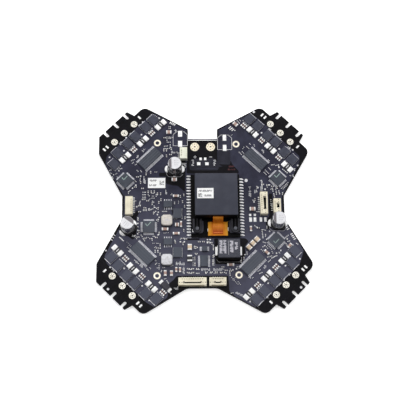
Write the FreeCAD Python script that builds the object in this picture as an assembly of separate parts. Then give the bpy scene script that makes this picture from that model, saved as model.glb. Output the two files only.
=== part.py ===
import FreeCAD, Part
import math
import os

V = FreeCAD.Vector

# ---- board outline (mm) ----
board_thickness = 1.6
arm_reach = 73.6
shoulder_drop = 4.9
slot_pitch = 8.0
slot_width = 1.85
slot_depth = 2.8
tooth_half_width = 10.5
wide_tooth_half_width = 12.2
shoulder_half_width = 19.8
notch_half_width = 8.6
notch_floor = 41.3
notch_mouth = 48.35
side_half_width = 46.65
side_half_height = 7.05
bottom_left_end = -9.7
bottom_right_end = 7.5
bottom_edge = -47.4

# ---- holes and bare pads ----
screw_hole_radius = 1.1
ring_pad_radius = 2.05
left_hole_x = -26.5
left_hole_spacing = 80.0
left_hole_centre_y = -0.3
right_hole_x = 19.6
right_hole_spacing = 79.0
right_hole_centre_y = -0.6
pad_thickness = 0.08
motor_pad_radius = 1.95
motor_pad_inset = 8.6
power_pad_radius = 2.6
power_pad_hole_radius = 0.45
power_pad_spacing = 9.3
power_pad_y = 37.2

# ---- parts repeated on the four arms ----
mosfet_width = 4.9
mosfet_length = 5.9
mosfet_height = 1.0
driver_length = 14.0
driver_width = 6.1
driver_height = 1.15
driver_lead_pitch = 0.5
controller_size = 7.0
controller_height = 1.4
controller_lead_pitch = 0.5
lead_thickness = 0.15
shunt_length = 7.4
shunt_width = 3.3
shunt_height = 0.8
shunt_end_length = 2.5

# ---- capacitors, inductors and connectors ----
can_diameter = 7.7
can_base_margin = 0.3
can_seat_depth = 0.3
can_base_height = 1.3
can_total_height = 10.5
can_lobe_proud = 1.45
can_lobe_width = 4.4
can_lobe_height = 0.3
power_inductor_length = 12.5
power_inductor_width = 11.0
power_inductor_height = 7.6
filter_inductor_size = 6.2
filter_inductor_height = 3.0
housing_depth = 4.25
housing_height = 4.0
housing_wall = 0.7
housing_end = 1.4
contact_pitch = 1.25
contact_width = 0.3

# ---- plug-in module and its cushioned sensor block ----
module_width = 28.1
module_length = 37.9
module_thickness = 1.0
module_x = 6.85
module_y = 0.75
joint_pitch = 1.778
block_width = 24.4
block_length = 25.0
block_height = 7.0
block_x = 7.2
block_y = 5.0
cover_wall = 1.0
foam_thickness = 1.5
foam_size = 6.0
base_plate_height = 2.9
sensor_board_height = 1.0
fit_gap = 0.05
flex_thickness = 0.2
flex_width = 5.9
flex_head_width = 11.3
flex_head_length = 8.2
cradle_radius = 2.6
cradle_wall = 1.2
cradle_height = 2.6
pin_radius = 1.0
soft_gap = 0.35

board_top = board_thickness
module_top = board_top + module_thickness
block_base = module_top + foam_thickness
block_top = block_base + block_height
sensor_board_top = block_base + base_plate_height + sensor_board_height
block_front = block_y - block_length / 2

arm_turn = {"ul": 45, "ur": -45, "ll": 135, "lr": -135}

# Places on each arm are (across the arm, back from the arm's end).
mosfet_places = {
    "ul": [(-17.9, 18.5), (-11.7, 14.9), (-3.3, 15.0), (2.95, 14.9), (11.4, 14.9), (17.7, 14.9)],
    "ur": [(-18.9, 15.3), (-12.5, 15.0), (-4.15, 15.2), (2.0, 15.0), (10.0, 16.0), (16.4, 16.2)],
    "ll": [(-18.8, 16.7), (-12.4, 14.6), (-4.2, 14.6), (2.4, 14.6), (9.9, 15.1), (16.1, 15.8)],
    "lr": [(-17.8, 18.4), (-11.6, 14.7), (-3.2, 14.9), (2.95, 14.7), (11.3, 14.7), (17.8, 14.7)],
}
shunt_places = {
    "ul": [(-10.5, 20.1), (4.0, 20.1), (18.7, 20.1)],
    "ur": [(-11.9, 20.0), (2.7, 20.0), (17.5, 21.5)],
    "ll": [(-12.0, 19.7), (2.8, 19.7), (16.5, 21.0)],
    "lr": [(-10.5, 19.7), (3.9, 19.7), (18.6, 19.7)],
}
chip_bank_places = {
    "ul": [(-3.4, 20.1), (11.3, 20.1)],
    "ur": [(-18.3, 20.6), (-4.5, 20.1), (10.1, 20.8)],
    "ll": [(-19.0, 21.9), (-4.1, 20.2), (9.9, 20.9)],
    "lr": [(-3.4, 19.7), (11.5, 19.8)],
}
driver_places = {"ul": (-0.8, 30.7), "ur": (1.3, 31.0), "ll": (5.1, 29.7), "lr": (4.2, 30.5)}
wide_slope_start = wide_tooth_half_width + 7.3
wide_slope_drop = 7.4
controller_edge_room = 6.0


def wide_slope_half_width(along):
    """Half width of an arm beside its wide tooth, on the straight slope down to the waist."""
    waist_across = (side_half_width - side_half_height) / math.sqrt(2)
    waist_along = (side_half_width + side_half_height) / math.sqrt(2)
    start_along = arm_reach - wide_slope_drop
    share = (start_along - along) / (start_along - waist_along)
    return wide_slope_start + share * (waist_across - wide_slope_start)


left_controller_across = -(wide_slope_half_width(arm_reach - 30.4) - controller_edge_room)
controller_places = {"ul": (left_controller_across, 30.4), "ur": (18.4, 30.7), "lr": (-15.0, 30.2)}
free_controller = (-31.3, -11.8)

# World places: x, y, then size along x and along y.
tan_chips = [
    (-15.8, 6.8, 3.4, 1.4), (-22.0, -13.1, 3.8, 1.7), (-15.2, -10.5, 2.2, 2.0), (-12.9, -10.2, 1.1, 3.5),
    (-15.7, -15.7, 3.8, 1.4), (-21.9, -38.9, 1.6, 3.2), (-18.4, -39.0, 1.6, 3.0), (-15.7, -36.9, 1.2, 2.6),
    (-13.6, -37.0, 1.2, 2.6), (15.0, -34.2, 3.9, 1.5), (28.2, -1.3, 3.4, 2.2), (27.0, -13.1, 1.2, 3.0),
    (-19.8, 46.3, 3.0, 2.0), (-16.7, 16.8, 3.0, 2.0),
]
cream_chips = [(-8.0, -23.9, 2.4, 3.4), (-8.1, -30.4, 2.7, 3.5)]
arm_tan_chips = {
    "ul": [],
    "ur": [(-22.6, 23.5, 3.0, 2.0)],
    "ll": [],
    "lr": [(-18.1, 22.7, 3.2, 1.5), (-6.1, 29.3, 1.5, 3.5)],
}
slope_capacitors = [(-7.7, 38.4), (-4.4, 38.4), (-1.1, 38.4)]
tiny_world = [
    (-38.0, 18.6, 0), (-36.2, 15.2, 90), (-39.2, 12.4, 0), (-35.0, 11.6, 0), (-31.8, 9.4, 90),
    (-30.0, 9.4, 90), (-28.2, 9.4, 90), (-26.4, 8.2, 90), (-24.6, 8.2, 90), (-24.4, 4.6, 90),
    (-34.6, 4.8, 0), (-32.0, 4.0, 0), (-29.4, 2.2, 90), (-36.8, 1.0, 0), (-33.6, -0.2, 0),
    (-30.8, -1.4, 0), (-28.6, -3.4, 90), (-36.6, -2.6, 0), (-26.0, -0.6, 90), (-25.6, 3.0, 90),
    (-37.4, -7.1, 90), (-36.9, -14.4, 90), (-37.4, -17.6, 0), (-33.4, -18.4, 0), (-30.2, -18.6, 0),
    (-27.0, -18.0, 0), (-25.4, -15.4, 90), (-24.8, -22.4, 90), (-26.4, -24.2, 0), (-24.9, -27.8, 90),
    (-12.2, -18.6, 0), (-10.2, -18.9, 0), (-11.4, -13.8, 90), (-10.6, -6.4, 90), (-11.8, -21.8, 90),
    (-16.2, -20.8, 90), (-12.0, 3.4, 90), (-13.2, 6.6, 90), (-11.2, 7.4, 90), (-10.8, 0.6, 90),
    (-2.6, -20.6, 0), (-0.2, -20.6, 0), (2.4, -20.6, 0), (4.6, -21.6, 90), (5.4, -24.2, 90),
    (5.2, -29.2, 90), (5.0, -32.8, 90), (-4.6, -24.0, 90), (-4.4, -27.6, 0), (-5.2, -30.2, 90),
    (-5.2, -33.8, 90), (-9.0, -36.4, 0), (-6.4, -36.4, 0), (-3.8, -36.4, 0), (-9.0, -38.6, 0),
    (-6.4, -38.6, 0), (1.2, -38.4, 0), (4.0, -38.4, 0), (6.8, -38.4, 0), (9.6, -38.6, 0),
    (12.4, -37.4, 0), (14.8, -37.8, 0), (21.0, -32.2, 90), (22.6, -30.4, 90), (10.6, -35.4, 0),
    (31.2, 12.0, 90), (37.4, 13.4, 0), (40.2, 12.6, 0), (43.0, 11.8, 90), (34.6, 13.8, 0),
    (29.8, 4.6, 90), (31.4, -12.6, 0), (33.4, -14.2, 90), (-27.4, 21.6, 0), (-30.4, 21.4, 90),
    (-33.0, 20.4, 90), (-21.2, 35.2, 90), (-22.8, 35.2, 90), (-21.2, 31.6, 90), (-18.8, 32.4, 0),
    (-18.4, 36.0, 90), (-22.2, 43.0, 0), (-19.2, 42.6, 0),
]


def box(x0, y0, z0, dx, dy, dz):
    return Part.makeBox(dx, dy, dz, V(x0, y0, z0))


def centred_box(x, y, z0, dx, dy, dz):
    return box(x - dx / 2, y - dy / 2, z0, dx, dy, dz)


def turn(shape, degrees, x=0.0, y=0.0):
    turned = shape.copy()
    turned.rotate(V(0, 0, 0), V(0, 0, 1), degrees)
    turned.translate(V(x, y, 0))
    return turned


def arm_to_world(arm, across, along):
    angle = math.radians(arm_turn[arm])
    x = across * math.cos(angle) - along * math.sin(angle)
    y = across * math.sin(angle) + along * math.cos(angle)
    return x, y


def on_arm(arm, shape, across, back, extra_turn=0):
    x, y = arm_to_world(arm, across, arm_reach - back)
    return turn(shape, arm_turn[arm] + extra_turn, x, y)


def rounded_face(corners):
    """A flat face from corners (x, y, radius), each corner rounded by an arc."""
    starts = []
    ends = []
    middles = []
    count = len(corners)
    for i in range(count):
        x, y, radius = corners[i]
        before = corners[i - 1]
        after = corners[(i + 1) % count]
        corner = V(x, y, 0)
        to_before = (V(before[0], before[1], 0) - corner).normalize()
        to_after = (V(after[0], after[1], 0) - corner).normalize()
        if radius == 0:
            starts.append(corner)
            ends.append(corner)
            middles.append(None)
            continue
        half_angle = to_before.getAngle(to_after) / 2
        run = radius / math.tan(half_angle)
        bisector = (to_before + to_after).normalize()
        centre = corner + bisector * (radius / math.sin(half_angle))
        starts.append(corner + to_before * run)
        ends.append(corner + to_after * run)
        middles.append(centre - bisector * radius)
    edges = []
    for i in range(count):
        if middles[i] is not None:
            edges.append(Part.Arc(starts[i], middles[i], ends[i]).toShape())
        edges.append(Part.LineSegment(ends[i], starts[(i + 1) % count]).toShape())
    return Part.Face(Part.Wire(edges))


def rounded_block(dx, dy, dz, radius, z0):
    corners = [(-dx / 2, -dy / 2, radius), (dx / 2, -dy / 2, radius), (dx / 2, dy / 2, radius),
               (-dx / 2, dy / 2, radius)]
    block = rounded_face(corners).extrude(V(0, 0, dz))
    block.translate(V(0, 0, z0))
    return block


def disc(x, y, radius, hole_radius=0.0):
    pad = Part.makeCylinder(radius, pad_thickness, V(x, y, board_top))
    if hole_radius > 0:
        pad = pad.cut(Part.makeCylinder(hole_radius, pad_thickness, V(x, y, board_top)))
    return pad


def flat_pad(x, y, dx, dy):
    return centred_box(x, y, board_top, dx, dy, pad_thickness)


def arm_side(arm, side, wide):
    """Outline corners of one half of an arm's end, from the end's middle to the slope."""
    shoulder = arm_reach - shoulder_drop
    if wide:
        places = [(wide_tooth_half_width, arm_reach, 0.3),
                  (wide_slope_start, arm_reach - wide_slope_drop, 1.5)]
    else:
        places = [(tooth_half_width, arm_reach, 0.3), (tooth_half_width + 1.3, shoulder, 0.4),
                  (shoulder_half_width, shoulder, 4.0)]
    corners = []
    for across, along, radius in places:
        x, y = arm_to_world(arm, side * across, along)
        corners.append((x, y, radius))
    return corners


def board_outline():
    corners = []
    corners += [(-notch_half_width, notch_mouth, 0.3), (-notch_half_width, notch_floor, 0.3)]
    corners += [(notch_half_width, notch_floor, 0.3), (notch_half_width, notch_mouth, 0.3)]
    corners += arm_side("ur", -1, False)[::-1]
    corners += arm_side("ur", 1, False)
    corners += [(side_half_width, side_half_height, 1.0), (side_half_width, -side_half_height, 1.0)]
    corners += arm_side("lr", -1, False)[::-1]
    corners += arm_side("lr", 1, False)
    corners += [(bottom_right_end, bottom_edge, 6.0), (bottom_left_end, bottom_edge, 6.0)]
    corners += arm_side("ll", -1, False)[::-1]
    corners += arm_side("ll", 1, True)
    corners += [(-side_half_width, -side_half_height, 1.0), (-side_half_width, side_half_height, 1.0)]
    corners += arm_side("ul", -1, True)[::-1]
    corners += arm_side("ul", 1, False)
    return rounded_face(corners)


def screw_holes():
    places = []
    for side in (1, -1):
        places.append((left_hole_x, left_hole_centre_y + side * left_hole_spacing / 2))
        places.append((right_hole_x, right_hole_centre_y + side * right_hole_spacing / 2))
    return places


def power_pads():
    return [(-power_pad_spacing / 2, power_pad_y), (power_pad_spacing / 2, power_pad_y)]


def make_main_board():
    board = board_outline().extrude(V(0, 0, board_thickness))
    cutters = []
    for arm in arm_turn:
        for k in (-1, 0, 1):
            bottom = arm_reach - slot_depth
            slot = box(-slot_width / 2, bottom, -1, slot_width, slot_depth + 2, board_thickness + 2)
            round_end = Part.makeCylinder(slot_width / 2, board_thickness + 2, V(0, bottom, -1))
            for piece in (slot, round_end):
                x, y = arm_to_world(arm, k * slot_pitch, 0)
                cutters.append(turn(piece, arm_turn[arm], x, y))
    for x, y in screw_holes():
        cutters.append(Part.makeCylinder(screw_hole_radius, board_thickness + 2, V(x, y, -1)))
    for x, y in power_pads():
        cutters.append(Part.makeCylinder(power_pad_hole_radius, board_thickness + 2, V(x, y, -1)))
    return board.cut(cutters)


def make_mounting_rings():
    return [disc(x, y, ring_pad_radius, screw_hole_radius) for x, y in screw_holes()]


def make_power_pads():
    return [disc(x, y, power_pad_radius, power_pad_hole_radius) for x, y in power_pads()]


def make_motor_pads():
    pads = []
    for arm in arm_turn:
        for k in (-1, 0, 1):
            x, y = arm_to_world(arm, k * slot_pitch, arm_reach - motor_pad_inset)
            pads.append(disc(x, y, motor_pad_radius))
    return pads


def make_bare_pads():
    pads = []
    for arm in arm_turn:
        for across in (-15.5, -13.2, 13.2):
            pads.append(on_arm(arm, flat_pad(0, 0, 1.0, 2.1), across, 7.8))
    for x, y, dx, dy in [(-13.2, 45.5, 2.4, 3.7), (-13.2, 39.2, 2.4, 3.7), (12.9, 43.0, 2.1, 3.8),
                         (12.9, 36.6, 2.1, 3.8), (-1.3, 29.7, 1.4, 1.6), (1.4, 29.7, 1.4, 1.6),
                         (-2.4, 26.7, 2.0, 1.8), (2.4, 26.7, 2.0, 1.8), (26.8, -4.7, 1.3, 1.3),
                         (29.5, -4.7, 1.3, 1.3), (27.0, -7.5, 1.6, 2.6), (29.5, -7.5, 1.6, 2.6),
                         (32.9, -7.5, 1.4, 2.6), (35.5, -7.5, 1.4, 2.6)]:
        pads.append(flat_pad(x, y, dx, dy))
    return pads


def gull_wing(width, rise, reach):
    """One bent lead: leaves the body level at y = 0 and ends as a foot on the board."""
    knee = reach * 0.45
    points = [V(0, 0, rise), V(0, 0, rise + lead_thickness), V(0, knee, rise + lead_thickness),
              V(0, knee, lead_thickness), V(0, reach, lead_thickness), V(0, reach, 0),
              V(0, knee - lead_thickness, 0), V(0, knee - lead_thickness, rise)]
    wire = Part.makePolygon(points + [points[0]])
    lead = Part.Face(wire).extrude(V(width, 0, 0))
    lead.translate(V(-width / 2, 0, board_top))
    return lead


def lead_row(count, pitch, width, rise, reach, offset, degrees):
    """A row of leads whose roots lie at the given offset from the package's middle."""
    leads = []
    for i in range(count):
        lead = gull_wing(width, rise, reach)
        lead.translate(V((i - (count - 1) / 2) * pitch, offset, 0))
        leads.append(turn(lead, degrees))
    return leads


def chamfered_body(dx, dy, dz, chamfer, lift=0.0):
    body = centred_box(0, 0, board_top + lift, dx, dy, dz - lift)
    top_edges = [e for e in body.Edges if e.BoundBox.ZMin > board_top + dz - 0.01]
    return body.makeChamfer(chamfer, top_edges)


def mosfet():
    return chamfered_body(mosfet_width, mosfet_length, mosfet_height, 0.12)


def mosfet_leads():
    leads = []
    for i in range(4):
        x = (i - 1.5) * 1.27
        leads.append(centred_box(x, -mosfet_length / 2 - 0.2, board_top, 0.45, 0.4, 0.25))
    leads.append(centred_box(0, mosfet_length / 2 + 0.2, board_top, 4.2, 0.4, 0.25))
    return leads


def make_mosfets(arm):
    return [on_arm(arm, mosfet(), across, back) for across, back in mosfet_places[arm]]


def make_mosfet_leads():
    leads = []
    for arm in arm_turn:
        for across, back in mosfet_places[arm]:
            leads += [on_arm(arm, lead, across, back) for lead in mosfet_leads()]
    return leads


def make_gate_driver(arm):
    body = chamfered_body(driver_length, driver_width, driver_height, 0.12, 0.1)
    return on_arm(arm, body, *driver_places[arm])


def make_gate_driver_leads():
    shapes = []
    for arm in arm_turn:
        for degrees in (0, 180):
            row = lead_row(28, driver_lead_pitch, 0.22, 0.5, 1.35, driver_width / 2, degrees)
            shapes += [on_arm(arm, lead, *driver_places[arm]) for lead in row]
    return shapes


def controller_body():
    return chamfered_body(controller_size, controller_size, controller_height, 0.12, 0.1)


def controller_leads():
    shapes = []
    for degrees in (0, 90, 180, 270):
        shapes += lead_row(12, controller_lead_pitch, 0.24, 0.6, 1.1, controller_size / 2, degrees)
    return shapes


def place_controller(arm, shape):
    if arm == "ll":
        return turn(shape, 0, *free_controller)
    return on_arm(arm, shape, *controller_places[arm])


def make_controller(arm):
    return place_controller(arm, controller_body())


def make_controller_leads():
    shapes = []
    for arm in arm_turn:
        shapes += [place_controller(arm, lead) for lead in controller_leads()]
    return shapes


def make_shunts(arm):
    middle = shunt_length - 2 * shunt_end_length
    body = centred_box(0, 0, board_top, middle, shunt_width, shunt_height)
    return [on_arm(arm, body, across, back) for across, back in shunt_places[arm]]


def make_shunt_terminals():
    shapes = []
    for arm in arm_turn:
        for across, back in shunt_places[arm]:
            for side in (-1, 1):
                x = side * (shunt_length - shunt_end_length) / 2
                end = centred_box(x, 0, board_top, shunt_end_length, shunt_width, shunt_height)
                shapes.append(on_arm(arm, end, across, back))
    return shapes


def chip(length, width, height, end_length):
    """A chip along x: the ceramic body and its two tinned ends."""
    body = centred_box(0, 0, board_top, length - 2 * end_length, width, height)
    ends = []
    for side in (-1, 1):
        x = side * (length - end_length) / 2
        ends.append(centred_box(x, 0, board_top, end_length, width, height))
    return body, ends


def chip_bank_items():
    items = []
    for arm in arm_turn:
        for across, back in chip_bank_places[arm]:
            for i in (-1, 0, 1):
                body, ends = chip(2.8, 0.8, 0.7, 0.6)
                items.append((on_arm(arm, body, across + i * 1.25, back, 90),
                              [on_arm(arm, end, across + i * 1.25, back, 90) for end in ends]))
    return items


def sized_chip(dx, dy, height):
    if dx >= dy:
        return chip(dx, dy, height, 0.22 * dx), 0
    return chip(dy, dx, height, 0.22 * dy), 90


def tan_chip_items():
    items = []
    for x, y, dx, dy in tan_chips:
        (body, ends), degrees = sized_chip(dx, dy, 1.1)
        items.append((turn(body, degrees, x, y), [turn(end, degrees, x, y) for end in ends]))
    for arm in arm_turn:
        for across, back, dx, dy in arm_tan_chips[arm]:
            (body, ends), degrees = sized_chip(dx, dy, 1.1)
            items.append((on_arm(arm, body, across, back, degrees),
                          [on_arm(arm, end, across, back, degrees) for end in ends]))
    return items


def cream_chip_items():
    items = []
    for x, y, dx, dy in cream_chips:
        (body, ends), degrees = sized_chip(dx, dy, 1.5)
        items.append((turn(body, degrees, x, y), [turn(end, degrees, x, y) for end in ends]))
    for across, back in slope_capacitors:
        body, ends = chip(3.1, 2.4, 1.6, 0.5)
        items.append((on_arm("lr", body, across, back, 90),
                      [on_arm("lr", end, across, back, 90) for end in ends]))
    return items


def make_tiny_chips():
    shapes = []
    for x, y, degrees in tiny_world:
        shapes.append(turn(centred_box(0, 0, board_top, 1.1, 0.6, 0.4), degrees, x, y))
    return shapes


def make_diode():
    body = chamfered_body(5.0, 3.2, 1.1, 0.15)
    ends = []
    for side in (-1, 1):
        ends.append(centred_box(side * 3.3, 0, board_top, 1.6, 2.6, 0.35))
    place = (-17.2, 25.4)
    return on_arm("ll", body, *place), [on_arm("ll", end, *place) for end in ends]


can_places = [(-16.45, 23.4, 0), (-43.15, -12.15, 45), (42.55, -9.6, 0)]


def can_base_half():
    return can_diameter / 2 + can_base_margin


def can_base():
    half = can_base_half()
    cut = 1.7
    corners = [(-half, -half + cut, 0), (-half + cut, -half, 0), (half, -half, 0.4), (half, half, 0.4),
               (-half + cut, half, 0), (-half, half - cut, 0)]
    plate = rounded_face(corners).extrude(V(0, 0, can_base_height - can_lobe_height))
    plate.translate(V(0, 0, board_top + can_lobe_height))
    return plate


def can_body():
    radius = can_diameter / 2
    low = board_top + can_base_height - can_seat_depth
    top = board_top + can_total_height
    profile = [V(0, 0, low), V(radius, 0, low), V(radius, 0, low + 1.3), V(radius - 0.35, 0, low + 1.6),
               V(radius - 0.35, 0, low + 1.9), V(radius, 0, low + 2.2), V(radius, 0, top - 0.4),
               V(radius - 0.4, 0, top), V(0, 0, top)]
    wire = Part.makePolygon(profile + [profile[0]])
    return Part.Face(wire).revolve(V(0, 0, 0), V(0, 0, 1), 360)


def can_terminals():
    half = can_lobe_width / 2
    reach = can_base_half() + can_lobe_proud
    corners = [(reach - 3, -half, 0), (reach, -half, 1.4), (reach, half, 1.4), (reach - 3, half, 0)]
    lobe = rounded_face(corners).extrude(V(0, 0, can_lobe_height))
    lobe.translate(V(0, 0, board_top))
    return [lobe, turn(lobe, 180)]


def make_power_inductor():
    body = chamfered_body(power_inductor_length, power_inductor_width, power_inductor_height, 0.35)
    return turn(body, 0, 14.0, -26.4)


def make_power_inductor_terminals():
    shapes = []
    for side in (-1, 1):
        wall = side * (power_inductor_length / 2 + 0.15)
        upright = centred_box(wall, 0, board_top, 0.3, 5.0, 3.2)
        foot = centred_box(side * (power_inductor_length / 2 + 0.8), 0, board_top, 1.0, 5.0, 0.3)
        shapes.append(turn(upright.fuse(foot).removeSplitter(), 0, 14.0, -26.2))
    return shapes


filter_inductor_places = [(-21.0, -8.3), (-21.0, -31.5)]


def filter_inductor_core():
    half = filter_inductor_size / 2
    cut = 1.1
    corners = [(-half, -half + cut, 0), (-half + cut, -half, 0),
               (half - cut, -half, 0), (half, -half + cut, 0),
               (half, half - cut, 0), (half - cut, half, 0), (-half + cut, half, 0), (-half, half - cut, 0)]
    core = rounded_face(corners).extrude(V(0, 0, filter_inductor_height - 0.7))
    core.translate(V(0, 0, board_top + 0.7))
    return core


def filter_inductor_base():
    return centred_box(0, 0, board_top, filter_inductor_size - 0.3, filter_inductor_size - 0.3, 0.7)


# x, y of the housing's middle, contact count, direction its mouth faces (degrees from -Y).
housings = {
    "connector_right_inner": (34.7, 1.5, 8, 90),
    "connector_right_outer": (42.25, -0.1, 4, 90),
    "connector_left": (-42.6, 0.25, 6, -90),
    "connector_top": (-11.3, 32.1, 3, 90),
    "connector_bottom_long": (-6.7, -44.4, 10, 0),
    "connector_bottom_short": (7.5, -44.4, 5, 0),
}


def contact(i, count):
    """One contact: a foot behind the housing, a rise, and a blade inside the mouth."""
    back = housing_depth / 2
    x = (i - (count - 1) / 2) * contact_pitch
    tail = box(x - contact_width / 2, back - housing_wall, board_top,
               contact_width, housing_wall + 1.1, 0.25)
    post = box(x - contact_width / 2, back - housing_wall, board_top, contact_width, 0.25, 1.9)
    blade = box(x - contact_width / 2, -back + 1.2, board_top + 1.65, contact_width,
                2 * back - 1.2 - housing_wall + 0.25, 0.25)
    return tail.fuse([post, blade]).removeSplitter()


def housing_length(count):
    return (count - 1) * contact_pitch + 2 * (housing_end + 0.85)


def make_housing(name):
    x, y, count, degrees = housings[name]
    length = housing_length(count)
    body = centred_box(0, 0, board_top, length, housing_depth, housing_height)
    mouth_width = length - 2 * housing_end
    mouth = box(-mouth_width / 2, -housing_depth / 2 - 1, board_top + 0.6, mouth_width,
                1 + housing_depth - housing_wall, housing_height - 1.2)
    window_width = max(mouth_width - 3.4, 2.0)
    window = centred_box(0, -0.35, board_top + housing_height - 1, window_width, 0.9, 2)
    body = body.cut([mouth, window] + [contact(i, count) for i in range(count)])
    return turn(body, degrees, x, y)


def make_contacts():
    shapes = []
    for name in housings:
        x, y, count, degrees = housings[name]
        shapes += [turn(contact(i, count), degrees, x, y) for i in range(count)]
    return shapes


# Small packages: x, y, length, width, height, leads a side, pitch, turn.
small_packages = [
    (-20.4, 1.8, 4.9, 3.9, 1.4, 4, 1.27, 0),
    (-20.4, -20.6, 4.9, 3.9, 1.4, 4, 1.27, 0),
    (0.0, -32.0, 6.5, 4.4, 1.1, 10, 0.65, 90),
    (0.3, -24.8, 3.0, 3.0, 1.0, 4, 0.65, 90),
]
power_packages = [(-14.9, -3.8), (-14.9, -26.9)]


def make_small_packages():
    shapes = []
    for x, y, length, width, height, count, pitch, degrees in small_packages:
        shapes.append(turn(chamfered_body(length, width, height, 0.12, 0.1), degrees, x, y))
    for x, y in power_packages:
        shapes.append(turn(chamfered_body(5.0, 5.9, 1.0, 0.12), 0, x, y))
    return shapes


def make_small_package_leads():
    shapes = []
    for x, y, length, width, height, count, pitch, degrees in small_packages:
        lead_width = 0.42 if pitch > 1 else 0.26
        for half_turn in (0, 180):
            row = lead_row(count, pitch, lead_width, 0.4, 1.0, width / 2, half_turn)
            shapes += [turn(lead, degrees, x, y) for lead in row]
    return shapes


def make_module_board():
    board = rounded_block(module_width, module_length, module_thickness, 0.4, board_top)
    return turn(board, 0, module_x, module_y)


def joint_shape():
    """One solder fillet: leans on the module's plated half hole and flows out on the board."""
    points = [V(0, 0, 0), V(2.3, 0, 0), V(2.3, 0, 0.12), V(0.9, 0, 0.45), V(0, 0, module_thickness)]
    fillet = Part.Face(Part.makePolygon(points + [points[0]])).extrude(V(0, 1.15, 0))
    fillet.translate(V(0, -0.575, board_top))
    return fillet


def make_module_joints():
    shapes = []
    for i in range(21):
        left = turn(joint_shape(), 180, module_x - module_width / 2, module_y + 18.05 - i * joint_pitch)
        shapes.append(left)
    for i in range(20):
        right = turn(joint_shape(), 0, module_x + module_width / 2, module_y + 16.25 - i * joint_pitch)
        shapes.append(right)
    return shapes


def at_block(shape):
    return turn(shape, 0, block_x, block_y)


def make_sensor_cover():
    cover = rounded_block(block_width, block_length, block_height, 0.5, block_base)
    top_edges = [e for e in cover.Edges if e.BoundBox.ZMin > block_top - 0.01]
    cover = cover.makeChamfer(0.25, top_edges)
    inner = centred_box(0, 0, block_base, block_width - 2 * cover_wall, block_length - 2 * cover_wall,
                        block_height - cover_wall)
    mouth_height = flex_thickness + 2 * soft_gap
    mouth = centred_box(0, -block_length / 2, sensor_board_top - soft_gap, flex_width + 2 * soft_gap,
                        3 * cover_wall, mouth_height)
    mouth.translate(V(flex_x - block_x, 0, 0))
    return at_block(cover.cut([inner, mouth]))


def make_sensor_base():
    wide = block_width - 2 * cover_wall - 2 * fit_gap
    long = block_length - 2 * cover_wall - 2 * fit_gap
    return at_block(centred_box(0, 0, block_base, wide, long, base_plate_height))


def make_sensor_board():
    wide = block_width - 2 * cover_wall - 2 * fit_gap
    long = block_length - 2 * cover_wall - 2 * fit_gap
    low = block_base + base_plate_height
    return at_block(centred_box(0, 0, low, wide, long, sensor_board_height))


def make_foam_pads():
    pads = []
    for sx in (-1, 1):
        for sy in (-1, 1):
            x = sx * (block_width / 2 - foam_size / 2 - 1.0)
            y = sy * (block_length / 2 - foam_size / 2 - 1.0)
            pads.append(at_block(centred_box(x, y, module_top, foam_size, foam_size, foam_thickness)))
    return pads


flex_x = 8.1
flex_head_front = module_y - module_length / 2 + 0.8


def make_flex_head():
    y = flex_head_front + flex_head_length / 2
    return centred_box(flex_x, y, module_top, flex_head_width, flex_head_length, 0.5)


def make_flex_strip():
    """The strip leaves the block level, drops in an S and lies on the connector head."""
    start = block_front + cover_wall + 0.8
    out = block_front - 0.6
    land = flex_head_front + flex_head_length - 1.6
    end = flex_head_front + 1.0
    low = module_top + 0.5
    high = sensor_board_top
    drop_in = V(0, out, high)
    drop_out = V(0, land, low)
    bend = 0.55 * (out - land)
    poles = [drop_in, V(0, out - bend, high), V(0, land + bend, low), drop_out]
    curve = Part.BezierCurve()
    curve.setPoles(poles)
    lower = [V(0, start, high), drop_in, drop_out, V(0, end, low)]
    edges = [Part.LineSegment(lower[0], lower[1]).toShape(), curve.toShape(),
             Part.LineSegment(lower[2], lower[3]).toShape()]
    upper_poles = [p + V(0, 0, flex_thickness) for p in poles]
    upper_curve = Part.BezierCurve()
    upper_curve.setPoles(upper_poles)
    upper = [p + V(0, 0, flex_thickness) for p in lower]
    edges += [Part.LineSegment(lower[3], upper[3]).toShape(),
              Part.LineSegment(upper[3], upper[2]).toShape(),
              upper_curve.toShape(), Part.LineSegment(upper[1], upper[0]).toShape(),
              Part.LineSegment(upper[0], lower[0]).toShape()]
    wire = Part.Wire(Part.__sortEdges__(edges))
    strip = Part.Face(wire).extrude(V(flex_width, 0, 0))
    strip.translate(V(flex_x - flex_width / 2, 0, 0))
    return strip


cradle_places = [(-3.7, -13.6), (18.0, -13.6)]


def cradle():
    """A rubber U, open towards the block, with a round bottom."""
    back = block_front - soft_gap - cradle_places[0][1]
    outer = Part.makeCylinder(cradle_radius, cradle_height, V(0, 0, module_top))
    outer = outer.fuse(box(-cradle_radius, 0, module_top, 2 * cradle_radius, back, cradle_height))
    inner_radius = cradle_radius - cradle_wall
    inner = Part.makeCylinder(inner_radius, cradle_height, V(0, 0, module_top))
    inner = inner.fuse(box(-inner_radius, 0, module_top, 2 * inner_radius, back, cradle_height))
    return outer.cut(inner).removeSplitter()


def tether_pin():
    """A bar from the block's front that ends in a round head inside the cradle."""
    reach = block_front - cradle_places[0][1]
    low = block_base + 0.2
    bar = box(-0.45, 0, low, 0.9, reach, 0.8)
    head = Part.makeCylinder(pin_radius, 1.2, V(0, 0, low - 0.2))
    return bar.fuse(head).removeSplitter()


def make_module_label():
    return centred_box(0.95, 5.4, block_top, 9.3, 6.1, 0.08)


def make_board_label():
    return centred_box(-26.9, 14.9, board_top, 10.0, 6.2, 0.08)


def save(name, shapes):
    if not isinstance(shapes, list):
        shapes = [shapes]
    solids = []
    for shape in shapes:
        solids += shape.Solids
    if len(solids) == 1:
        result = solids[0]
    else:
        result = Part.makeCompound(solids)
    result.exportStep("parts/" + name + ".step")


os.makedirs("parts", exist_ok=True)

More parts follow.
